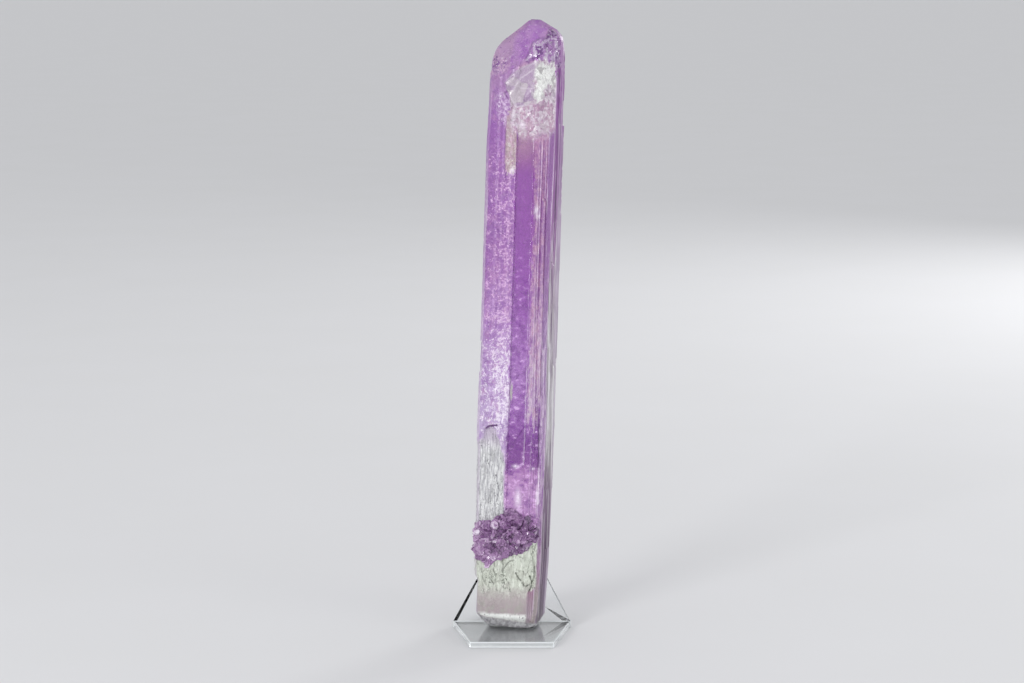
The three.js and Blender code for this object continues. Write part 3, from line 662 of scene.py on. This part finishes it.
# The clear channel is deepest violet in the window's upper half, with ripples inside lower down.
channel_colour = kunzite.colours(
    place_z + (clouds - 0.5) * 10, 34, 214,
    [
        (40, paint(198, 150, 204)), (54, paint(220, 174, 224)), (64, paint(214, 164, 216)),
        (67, paint(140, 80, 156)), (76, paint(114, 50, 138)), (88, paint(158, 102, 182)),
        (102, paint(192, 146, 212)), (122, paint(174, 116, 196)), (142, paint(160, 88, 184)),
        (184, paint(160, 86, 178)), (190, paint(170, 106, 166)), (197, paint(190, 144, 168)),
        (204, paint(198, 166, 172)),
    ],
)
rippled = place_z.ramp(170, 120, 0.25)
channel_colour = kunzite.blend(
    ripples.ramp(0.48, 0.36) * rippled * 0.75, channel_colour, paint(114, 58, 138)
)
channel_colour = kunzite.blend(
    ripples.ramp(0.54, 0.66) * rippled * 0.75, channel_colour, paint(208, 170, 218)
)
channel_colour = kunzite.blend(
    blotches.ramp(0.5, 0.38) * rippled * 0.6, channel_colour, paint(112, 54, 136)
)
channel_colour = kunzite.blend(flecks.ramp(0.68, 0.74) * rippled, channel_colour, FROST_AND_GLINT_WHITE)

# The striated faces: rose and mauve above, tan and white lines below.
line_white = (streaks * 0.6 + hairs * 0.4 + place_z.ramp(165, 100) * 0.08).ramp(0.55, 0.63)
bevel_colour = kunzite.colours(
    place_z + (clouds - 0.5) * 12, 0, 214,
    [
        (4, paint(166, 154, 162)), (9, paint(158, 140, 152)), (15, paint(150, 112, 136)),
        (34, paint(166, 122, 166)), (84, paint(160, 118, 178)),
        (104, paint(178, 142, 184)), (125, paint(170, 118, 174)), (155, paint(140, 70, 150)),
        (185, paint(134, 62, 138)), (200, paint(174, 118, 162)), (208, paint(198, 162, 176)),
    ],
)
low_calm = place_z.ramp(14, 30, 0.1)
bevel_colour = kunzite.blend(
    bands.ramp(0.5, 0.64) * low_calm * 0.45, bevel_colour, paint(124, 72, 140)
)
mottled = low_calm * place_z.ramp(40, 120)
bevel_colour = kunzite.blend(
    flecks.ramp(0.54, 0.62) * mottled * 0.6, bevel_colour, paint(206, 164, 180)
)
bevel_colour = kunzite.blend(
    flecks.ramp(0.44, 0.36) * mottled * 0.6, bevel_colour, paint(110, 58, 124)
)
bevel_colour = kunzite.blend(
    patches.ramp(0.5, 0.6) * low_calm * 0.6, bevel_colour, paint(192, 142, 162)
)
bevel_colour = kunzite.blend(
    blotches.ramp(0.48, 0.36) * low_calm * 0.6, bevel_colour, paint(132, 78, 152)
)
bevel_colour = kunzite.blend(
    (fine_threads * 0.35).or_more(worms * patches.ramp(0.46, 0.54) * 0.7) * low_calm,
    bevel_colour, paint(220, 190, 210),
)
bevel_frost = flecks.ramp(0.54, 0.62) * place_z.ramp(150, 118) * place_z.ramp(80, 92) * 0.8
bevel_colour = kunzite.blend(
    (line_white * place_z.ramp(165, 110, 0.06) * low_calm * 0.55).or_more(bevel_frost),
    bevel_colour, paint(226, 214, 222),
)
shoulder_colour = kunzite.colours(
    place_z, 0, 250,
    [
        (14, paint(156, 144, 144)), (26, paint(146, 104, 142)), (60, paint(156, 116, 172)),
        (110, paint(172, 146, 186)), (150, paint(160, 112, 172)), (200, paint(154, 104, 166)),
        (240, paint(162, 108, 178)),
    ],
)
shoulder_colour = kunzite.blend(
    line_white * place_z.ramp(14, 40, 0.2) * place_z.ramp(180, 150, 0.3) * 0.7,
    shoulder_colour, paint(222, 206, 220),
)
side_colour = kunzite.colours(
    place_z + (clouds - 0.5) * 20, 0, 250,
    [
        (8, paint(120, 112, 118)), (20, paint(98, 74, 98)), (36, paint(84, 52, 84)),
        (58, paint(122, 98, 122)), (80, paint(182, 180, 180)), (130, paint(180, 172, 178)),
        (160, paint(150, 98, 156)), (210, paint(138, 66, 150)),
    ],
)
side_colour = kunzite.blend(bands.ramp(0.5, 0.62) * 0.4, side_colour, paint(120, 94, 130))
side_colour = kunzite.blend(long_lines.ramp(0.46, 0.38) * 0.8, side_colour, paint(92, 70, 100))
side_colour = kunzite.blend(
    long_lines.ramp(0.53, 0.6) * place_z.ramp(180, 140, 0.4) * place_z.ramp(40, 78, 0.3),
    side_colour, paint(228, 227, 229),
)
rear_colour = kunzite.blend(bands.ramp(0.42, 0.58), paint(168, 122, 184), paint(142, 96, 160))
rear_colour = kunzite.blend(place_z.ramp(60, 25), rear_colour, paint(180, 172, 176))
rear_colour = kunzite.blend(threads * 0.5, rear_colour, FROST_AND_GLINT_WHITE)
rear_colour = kunzite.blend(line_white * 0.6, rear_colour, paint(210, 196, 214))

# The chisel top, with a saturated strip down its middle, and the breaks beside it.
tip_colour = kunzite.colours(
    place_x, -16, 16, [(-12, paint(172, 138, 174)), (-2, paint(172, 130, 176)),
                       (4, paint(168, 116, 178)), (12, paint(158, 106, 172))],
)
tip_colour = kunzite.blend(patches.ramp(0.5, 0.64) * 0.5, tip_colour, paint(190, 150, 180))
belt = (place_z + place_x * 0.4).ramp(232, 226)
tip_colour = kunzite.blend(
    (flecks - belt * 0.1).ramp(0.4, 0.34) * 0.9, tip_colour, paint(108, 56, 132)
)
tip_colour = kunzite.blend(
    (worms + curls) * belt * blotches.ramp(0.4, 0.5), tip_colour, paint(226, 192, 216)
)
# painted glints across the top
tip_colour = kunzite.blend(glints * (belt + 0.4), tip_colour, paint(238, 228, 238))
strip_colour = kunzite.blend(blotches.ramp(0.4, 0.62), paint(160, 102, 182), paint(180, 134, 192))
# painted glints on the strip
strip_colour = kunzite.blend(glints * 0.5, strip_colour, FROST_AND_GLINT_WHITE)
# The broken top's chips: painted shade in the pits, dark violet, and painted white glints on the
# grit.
break_colour = kunzite.blend(chip_tone.ramp(0.35, 0.62), paint(100, 52, 122), paint(176, 130, 188))
break_colour = kunzite.blend(grit_tone.ramp(0.54, 0.64) * 0.8, break_colour, FROST_AND_GLINT_WHITE)
etched_colour = kunzite.blend(threads, paint(162, 114, 176), paint(216, 192, 222))
etched_colour = kunzite.blend(flecks.ramp(0.5, 0.66) * 0.8, etched_colour, paint(218, 196, 222))
# painted glints on the etched patch
etched_colour = kunzite.blend(glints, etched_colour, FROST_AND_GLINT_WHITE)
tan_colour = kunzite.blend(patches.ramp(0.42, 0.62), paint(186, 166, 164), paint(190, 152, 170))
tan_colour = kunzite.blend(flecks.ramp(0.5, 0.66) * 0.8, tan_colour, paint(226, 218, 216))
tan_colour = kunzite.blend(fine_threads * 0.4, tan_colour, paint(150, 120, 140))
scar_colour = kunzite.blend(
    place_z.ramp(213, 219), paint(206, 176, 190), paint(194, 184, 194)
)
scar_colour = kunzite.blend(chip_tone.ramp(0.4, 0.62) * 0.7, scar_colour, paint(218, 212, 212))
# painted glints: near-white dots on the scar's grit
scar_colour = kunzite.blend(grit_tone.ramp(0.56, 0.68) * 0.8, scar_colour, paint(242, 234, 238))
scar_colour = kunzite.blend(grit_tone.ramp(0.38, 0.28) * 0.5, scar_colour, paint(186, 134, 164))
scar_colour = kunzite.blend(fine_threads * 0.4, scar_colour, paint(160, 138, 152))
plane_tone, plane_height = kunzite.shards(place, (6, 6, 5), 9.0)
cleavage_colour = kunzite.blend(
    plane_tone.ramp(0.4, 0.6), paint(168, 146, 172), paint(192, 182, 188)
)
cleavage_colour = kunzite.blend(fine_threads * 0.2, cleavage_colour, FROST_AND_GLINT_WHITE)
bright_colour = kunzite.blend(
    chip_tone.ramp(0.4, 0.64), paint(180, 178, 178), paint(232, 234, 230)
)
bright_colour = kunzite.blend(fine_threads * 0.5, bright_colour, paint(170, 166, 168))

# The bleached hollow, the foot with its cracks, the wedge painted near white as painted light on a
# lit facet, the heel below it painted grey as painted shade, and worn corners.
SOOT = paint(62, 58, 66)
bleached_colour = kunzite.blend(hairs.ramp(0.38, 0.6), paint(168, 168, 172), paint(222, 223, 223))
bleached_colour = kunzite.blend(
    patches.ramp(0.5, 0.36) * 0.5, bleached_colour, paint(156, 156, 158)
)
bleached_colour = kunzite.blend(place_z.ramp(72, 82) * 0.7, bleached_colour, paint(182, 164, 190))
fissures = soot.ramp(0.64, 0.7).or_more(dark_threads * clouds.ramp(0.42, 0.56))
bleached_colour = kunzite.blend(fissures * 0.85, bleached_colour, SOOT)
root_colour = kunzite.colours(
    place_z + (patches - 0.5) * 10, 0, 34,
    [(4, paint(160, 145, 151)), (13, paint(168, 157, 159)), (19, paint(192, 196, 184)),
     (30, paint(194, 200, 187))],
)
root_colour = kunzite.blend(patches.ramp(0.5, 0.38) * 0.5, root_colour, paint(158, 160, 150))
speckled = (place_z + blotches * 6).ramp(14, 21, 0.1)
root_colour = kunzite.blend(
    ripples.ramp(0.52, 0.66) * speckled * 0.5, root_colour, paint(206, 214, 200)
)
root_colour = kunzite.blend(
    (hairs * 0.5 + flecks * 0.5).ramp(0.5, 0.6) * speckled * 0.6, root_colour, paint(228, 232, 222)
)
root_colour = kunzite.blend(
    soot.ramp(0.56, 0.66) * speckled * 0.55, root_colour, paint(122, 122, 112)
)
jagged = kunzite.vectors("MULTIPLY_ADD", rough_sway, (2.2, 2.2, 3.0), bent)
crazed = kunzite.node(
    "ShaderNodeTexVoronoi",
    {"feature": "DISTANCE_TO_EDGE"},
    {"Vector": kunzite.vectors("MULTIPLY", jagged, (0.24, 0.24, 0.16)), "Scale": 1.0},
)
cracks = crazed.ramp(0.03, 0.008) * clouds.ramp(0.45, 0.55) * place_z.ramp(12, 17)
cracks = (cracks * flecks.ramp(0.42, 0.58)).or_more(masks["cracks"] * soot.ramp(0.36, 0.5))
root_colour = kunzite.blend(cracks * 0.85, root_colour, paint(66, 72, 60))
# painted light: the wedge facet near white
lit_wedge_colour = kunzite.blend(soot.ramp(0.6, 0.66), paint(230, 232, 229), paint(130, 124, 128))
# painted shade: the heel below the wedge in greys
shaded_heel_colour = kunzite.blend(patches.ramp(0.4, 0.6), paint(160, 157, 162), paint(206, 206, 208))

colour = plate_colour
for name, layer in [
    ("bevel", bevel_colour), ("channel", channel_colour), ("shoulder", shoulder_colour),
    ("side", side_colour), ("rear", rear_colour), ("tip", tip_colour), ("strip", strip_colour),
    ("broken_top", break_colour), ("etched", etched_colour), ("tan", tan_colour),
    ("scar", scar_colour), ("cleavage", cleavage_colour), ("scar_bright", bright_colour),
    ("bleached", bleached_colour), ("root", root_colour), ("shaded_heel", shaded_heel_colour),
    ("lit_wedge", lit_wedge_colour), ("veils_and_glints", FROST_AND_GLINT_WHITE), ("sliver", paint(176, 172, 170)),
]:
    colour = kunzite.blend(masks[name], colour, layer)
# painted shade: the creases are painted dark violet
colour = kunzite.blend(masks["shaded_creases"] * 0.7, colour, paint(92, 56, 108))
# painted highlights: the ridges are painted near white
colour = kunzite.blend(masks["lit_ridges"] * 0.7, colour, paint(228, 220, 228))
# the corners, pale lilac: wear, and a painted highlight
colour = kunzite.blend(masks["edges"] * 0.7, colour, paint(222, 206, 224))
# painted highlights on the rims, fading out towards the top
colour = kunzite.blend(
    masks["rim_highlights"] * place_z.ramp(215, 170, 0.1) * 0.5, colour, paint(204, 190, 210)
)
colour = kunzite.blend(masks["crust"], colour, paint(104, 74, 116))

milky = masks["milk"] + plate_white * masks["plate"] * 0.4 + (clouds - 0.5) * 0.2
milky = milky + abs(ripples - 0.5) * masks["channel"] * rippled * 3.5
rough_breaks = masks["scar"] + masks["broken_top"] + masks["crust"]
relief = chip_height * rough_breaks * 0.6 + grit_height * rough_breaks * 0.25
relief = relief * (1 - masks["cleavage"]) + plane_height * masks["cleavage"] * 0.8
relief = relief + flecks * 0.06 + hairs * (1 - masks["plate"]) * 0.03
relief = relief + (curls + worms) * masks["plate"] * 0.08
relief = kunzite.bump(relief - cracks * masks["root"] * 0.2, MM, 0.9)
clear_shader = kunzite.shader(
    Base_Color=kunzite.blend(masks["channel"], paint(248, 238, 250), paint(248, 214, 253)),
    Roughness=masks["dull"],
    IOR=1.66,
    Transmission_Weight=1.0,
    Normal=relief,
)
milky_shader = kunzite.shader(
    Base_Color=colour,
    Roughness=masks["dull"] * 0.6 + flecks.ramp(0.4, 0.7, 0.12, 0.3),
    IOR=1.66,
    Normal=relief,
)
kunzite_shader = kunzite.node(
    "ShaderNodeMixShader", {}, {0: milky, 1: clear_shader, 2: milky_shader}
)
INSIDE_COLOUR = (0.64, 0.0, 0.80, 1)
INSIDE_STRENGTH = 78.0  # per metre, so that a thin edge stays pale and the thickness is violet
absorbed = kunzite.node(
    "ShaderNodeVolumeAbsorption", {}, {"Color": INSIDE_COLOUR, "Density": INSIDE_STRENGTH}
)
kunzite.node("ShaderNodeOutputMaterial", {}, {"Surface": kunzite_shader, "Volume": absorbed})
crystal_mesh.materials.append(kunzite.material)
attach(crystal, "root")
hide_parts("kunzite_crystal")

# ------------------------------------------------------------------ crust of purple mica
# Small six-sided books of lepidolite, a purple mica, that grew in a thick band across the
# lower front. They overlap like scales over the lumpy skin, pearly and glinting.

BOOKS_PER_SQUARE_METRE = 1.5e6
BOOK_RADIUS = 1.5 * MM
BOOK_DEPTH = 0.6 * MM
BOOK_TILT = 0.5  # radians away from the skin, either way
BOOK_SEED = 3
SMALLEST_BOOK, LARGEST_BOOK = (0.35, 0.35, 0.5), (1.3, 1.3, 1.6)  # times the radius and the depth
PALER_PER_METRE = 10.0  # the books' tone, from 0 to 1, rises to the left

bed_faces = [quad for quad in quads if min(zones["crust"][list(quad)]) > 0.5]
bed_mesh = bpy.data.meshes.new("mica_bed")
bed_mesh.from_pydata([crystal_place @ Vector(spot) for spot in skin], [], bed_faces)
crust = bpy.data.objects.new("mica_crust", bed_mesh)
bpy.context.scene.collection.objects.link(crust)

mica = Finish("mica")
tone = mica.mask("tone")
mica_place = mica.node("ShaderNodeTexCoord", output="Object")
pearl = mica.speckle(mica_place, (0.5 * MM, 0.5 * MM, 0.5 * MM), 3, 0.6)
mica_colour = mica.colours(
    tone, 0, 1,
    [(0.15, paint(84, 54, 92)), (0.4, paint(130, 92, 138)), (0.62, paint(160, 124, 166)),
     (0.84, paint(188, 162, 192)), (0.98, paint(226, 216, 230))],
)
mica_colour = mica.blend(pearl.ramp(0.45, 0.7) * 0.5, mica_colour, paint(166, 134, 172))
mica_shader = mica.shader(
    Base_Color=mica_colour,
    Roughness=pearl.ramp(0.3, 0.7, 0.12, 0.4),
    IOR=1.58,
    Coat_Weight=0.5,
    Normal=mica.bump(pearl, 0.1 * MM, 0.4),
)
mica.node("ShaderNodeOutputMaterial", {}, {"Surface": mica_shader})

books = Bench(bpy.data.node_groups.new("mica_books", "GeometryNodeTree"))
books.tree.is_modifier = True
ports = {}
for name, kind in [
    ("Bed", "Geometry"), ("Density", "Float"), ("Radius", "Float"), ("Depth", "Float"),
    ("Tilt", "Float"), ("Seed", "Int"),
]:
    ports[name] = books.tree.interface.new_socket(
        name, in_out="INPUT", socket_type="NodeSocket" + kind
    )
books.tree.interface.new_socket("Books", in_out="OUTPUT", socket_type="NodeSocketGeometry")
given = {name: books.node("NodeGroupInput", output=name) for name in ports}

spread = books.node(
    "GeometryNodeDistributePointsOnFaces",
    {"distribute_method": "RANDOM"},
    {"Mesh": given["Bed"], "Density": given["Density"], "Seed": given["Seed"]},
)
book = books.node(
    "GeometryNodeMeshCylinder",
    {"fill_type": "NGON"},
    {"Vertices": 6, "Radius": given["Radius"], "Depth": given["Depth"]},
)
turns = books.node(
    "FunctionNodeRandomValue",
    {"data_type": "FLOAT_VECTOR"},
    {"Min": (-1, -1, -3), "Max": (1, 1, 3), "Seed": given["Seed"]},
)
tilts = books.node(
    "FunctionNodeRotateRotation",
    {"rotation_space": "LOCAL"},
    {0: spread.beside("Rotation"), 1: books.node(
        "FunctionNodeEulerToRotation", {},
        {0: books.node("ShaderNodeVectorMath", {"operation": "SCALE"},
                       {0: turns, "Scale": given["Tilt"]})},
    )},
)
widths = books.node(
    "FunctionNodeRandomValue",
    {"data_type": "FLOAT_VECTOR"},
    {"Min": SMALLEST_BOOK, "Max": LARGEST_BOOK, "Seed": 5},
)
strewn = books.node(
    "GeometryNodeInstanceOnPoints",
    {},
    {"Points": spread, "Instance": book, "Rotation": tilts, "Scale": widths},
)
chance = books.node(
    "FunctionNodeRandomValue", {"data_type": "FLOAT"}, {2: 0.0, 3: 1.0, "Seed": 9}, 1
)
where = books.node("GeometryNodeInputPosition")
drift = books.speckle(where, (5 * MM, 5 * MM, 3.5 * MM), 2)
paler_left = books.node("ShaderNodeSeparateXYZ", {}, {0: where}, "X") * PALER_PER_METRE
toned = books.node(
    "GeometryNodeStoreNamedAttribute",
    {"data_type": "FLOAT", "domain": "INSTANCE"},
    {"Geometry": strewn, "Name": "tone", "Value": chance * 0.4 + drift * 1.6 - paler_left - 0.57},
)
made = books.node("GeometryNodeRealizeInstances", {}, {0: toned})
finished = books.node("GeometryNodeSetMaterial", {}, {0: made, "Material": mica.material})
books.node("NodeGroupOutput", {}, {"Books": finished})

growth = crust.modifiers.new("books", "NODES")
growth.node_group = books.tree
growth[ports["Density"].identifier] = BOOKS_PER_SQUARE_METRE
growth[ports["Radius"].identifier] = BOOK_RADIUS
growth[ports["Depth"].identifier] = BOOK_DEPTH
growth[ports["Tilt"].identifier] = BOOK_TILT
growth[ports["Seed"].identifier] = BOOK_SEED
grown = crust.evaluated_get(bpy.context.evaluated_depsgraph_get())
crust_mesh = bpy.data.meshes.new_from_object(grown)
crust.modifiers.remove(growth)
crust.data = crust_mesh
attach(crust, "root")

# ------------------------------------------------------------------ acrylic easel
# A ledge and an A-shaped backrest with a window, bent from one sheet of clear acrylic, and a leg
# of the same sheet behind. Their edges are polished, and painted opaque white as a painted
# highlight for the light the sheet gathers in them. The crystal only rests in it.

POLISHED_EDGE = 0.35 * MM
CUT_EDGE_WIDTH = 3 * MM  # a face narrower than this is a cut edge of the sheet
SHARP_CORNER = math.radians(20)
FLAT_JOIN = math.radians(1)

easel_shape = merged_copy("acrylic_easel", Matrix.Identity(4))
bmesh.ops.dissolve_limit(
    easel_shape, angle_limit=FLAT_JOIN, verts=easel_shape.verts, edges=easel_shape.edges
)
lit_edge = easel_shape.faces.layers.float.new("lit_edge")
sharp = [edge for edge in easel_shape.edges if edge.calc_face_angle(0) > SHARP_CORNER]
corners = np.array([vert.co for vert in easel_shape.verts])
rounded = bmesh.ops.bevel(
    easel_shape, geom=sharp, offset=POLISHED_EDGE, segments=2, profile=0.5, affect="EDGES"
)
for face in easel_shape.faces:
    width = 2 * face.calc_area() / face.calc_perimeter()
    face[lit_edge] = 0.5 if width < CUT_EDGE_WIDTH else 0.0
for face in rounded["faces"]:
    face[lit_edge] = 1.0
for vert in easel_shape.verts:
    vert.co = Vector(np.clip(vert.co, corners.min(axis=0), corners.max(axis=0)))
bmesh.ops.recalc_face_normals(easel_shape, faces=easel_shape.faces)
easel_mesh = bpy.data.meshes.new("easel")
easel_shape.to_mesh(easel_mesh)
easel_shape.free()
easel_mesh.shade_flat()
easel = bpy.data.objects.new("acrylic_stand", easel_mesh)
bpy.context.scene.collection.objects.link(easel)

acrylic = Finish("acrylic")
sheet_place = acrylic.node("ShaderNodeTexCoord", output="Object")
scratches = acrylic.speckle(sheet_place, (0.4 * MM, 9 * MM, 0.4 * MM), 2, 0.5)
smears = acrylic.speckle(sheet_place, (12 * MM, 12 * MM, 12 * MM), 2, 0.5, 4.0)
sheet_shader = acrylic.shader(
    Base_Color=acrylic.blend(smears.ramp(0.4, 0.7), (0.98, 0.99, 0.99), (0.95, 0.97, 0.97)),
    Roughness=smears.ramp(0.35, 0.75, 0.01, 0.06),
    IOR=1.49,
    Transmission_Weight=1.0,
    Normal=acrylic.bump(scratches.ramp(0.62, 0.7), 0.02 * MM, 0.3),
)
# Painted light: the edges get an opaque near-white finish, for the glow the sheet gathers in them.
edge_glow_shader = acrylic.shader(
    Base_Color=acrylic.blend(smears, paint(240, 244, 245), paint(225, 231, 233)), Roughness=0.2
)
acrylic_shader = acrylic.node(
    "ShaderNodeMixShader", {}, {0: acrylic.mask("lit_edge") * 0.8, 1: sheet_shader, 2: edge_glow_shader}
)
acrylic.node("ShaderNodeOutputMaterial", {}, {"Surface": acrylic_shader})
easel_mesh.materials.append(acrylic.material)
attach(easel, "root")
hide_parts("acrylic_easel")

# ------------------------------------------------------------------ floor, light and camera
# A plain pale floor, soft lamps around it and a camera a little above the middle of the
# specimen, about a metre in front of it.

FLOOR_HALF = 40
FLOOR_DROP = 0.15 * MM  # a hair below the ledge, so that light gets under the clear sheet
floor_corners = [(-1, -1), (1, -1), (1, 1), (-1, 1)]
floor_mesh = bpy.data.meshes.new("floor")
floor_mesh.from_pydata(
    [(FLOOR_HALF * x, FLOOR_HALF * y, -FLOOR_DROP) for x, y in floor_corners], [], [(0, 1, 2, 3)]
)
floor = bpy.data.objects.new("floor", floor_mesh)
bpy.context.scene.collection.objects.link(floor)
paper = Finish("pale_paper")
paper_place = paper.node("ShaderNodeTexCoord", output="Object")
paper_tone = paper.speckle(paper_place, (0.09, 0.09, 0.09), 3, 0.5)
paper_shader = paper.shader(
    Base_Color=paper.blend(paper_tone, paint(216, 216, 217), paint(219, 219, 221)), Roughness=0.8
)
paper.node("ShaderNodeOutputMaterial", {}, {"Surface": paper_shader})
floor_mesh.materials.append(paper.material)
floor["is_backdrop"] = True

SKY_COLOUR = (0.97, 0.98, 1.0, 1)
SKY_STRENGTH = 0.78
world = bpy.data.worlds.new("studio")
bpy.context.scene.world = world
world.use_nodes = True
world.node_tree.nodes["Background"].inputs["Color"].default_value = SKY_COLOUR
world.node_tree.nodes["Background"].inputs["Strength"].default_value = SKY_STRENGTH

LAMPS = [
    # (name, place, what it is aimed at, size, watts)
    ("key", (-0.95, -1.35, 0.55), (0, 0, 0.13), 0.5, 12),
    ("fill", (1.3, -0.9, 0.3), (0, 0, 0.12), 0.6, 4),
    ("rim", (0.9, 1.1, 0.5), (0, 0, 0.14), 0.4, 5),
]
for name, spot, aim, size, watts in LAMPS:
    lamp_data = bpy.data.lights.new(name, "AREA")
    lamp_data.size = size
    lamp_data.energy = watts
    lamp = bpy.data.objects.new(name, lamp_data)
    lamp.location = spot
    lamp.rotation_euler = (Vector(aim) - Vector(spot)).to_track_quat("-Z", "Y").to_euler()
    bpy.context.scene.collection.objects.link(lamp)

CAMERA_TARGET = Vector((0, 0, 0.1221))
CAMERA_DISTANCE = 0.989
CAMERA_PITCH = math.radians(9)
CAMERA_LENS, CAMERA_SENSOR = 85.7, 36  # in mm
camera_data = bpy.data.cameras.new("camera")
camera_data.lens = CAMERA_LENS
camera_data.sensor_width = CAMERA_SENSOR
camera = bpy.data.objects.new("camera", camera_data)
behind = Vector((0, -math.cos(CAMERA_PITCH), math.sin(CAMERA_PITCH)))
camera.location = CAMERA_TARGET + CAMERA_DISTANCE * behind
camera.rotation_euler = (-behind).to_track_quat("-Z", "Y").to_euler()
bpy.context.scene.collection.objects.link(camera)
bpy.context.scene.camera = camera
bpy.context.scene.view_settings.view_transform = "Standard"

# The two boxes, to compare the looks with the CAD.
sizes = {"cad": cad_box, "visual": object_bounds()}
sizes = {name: [list(corner) for corner in box] for name, box in sizes.items()}
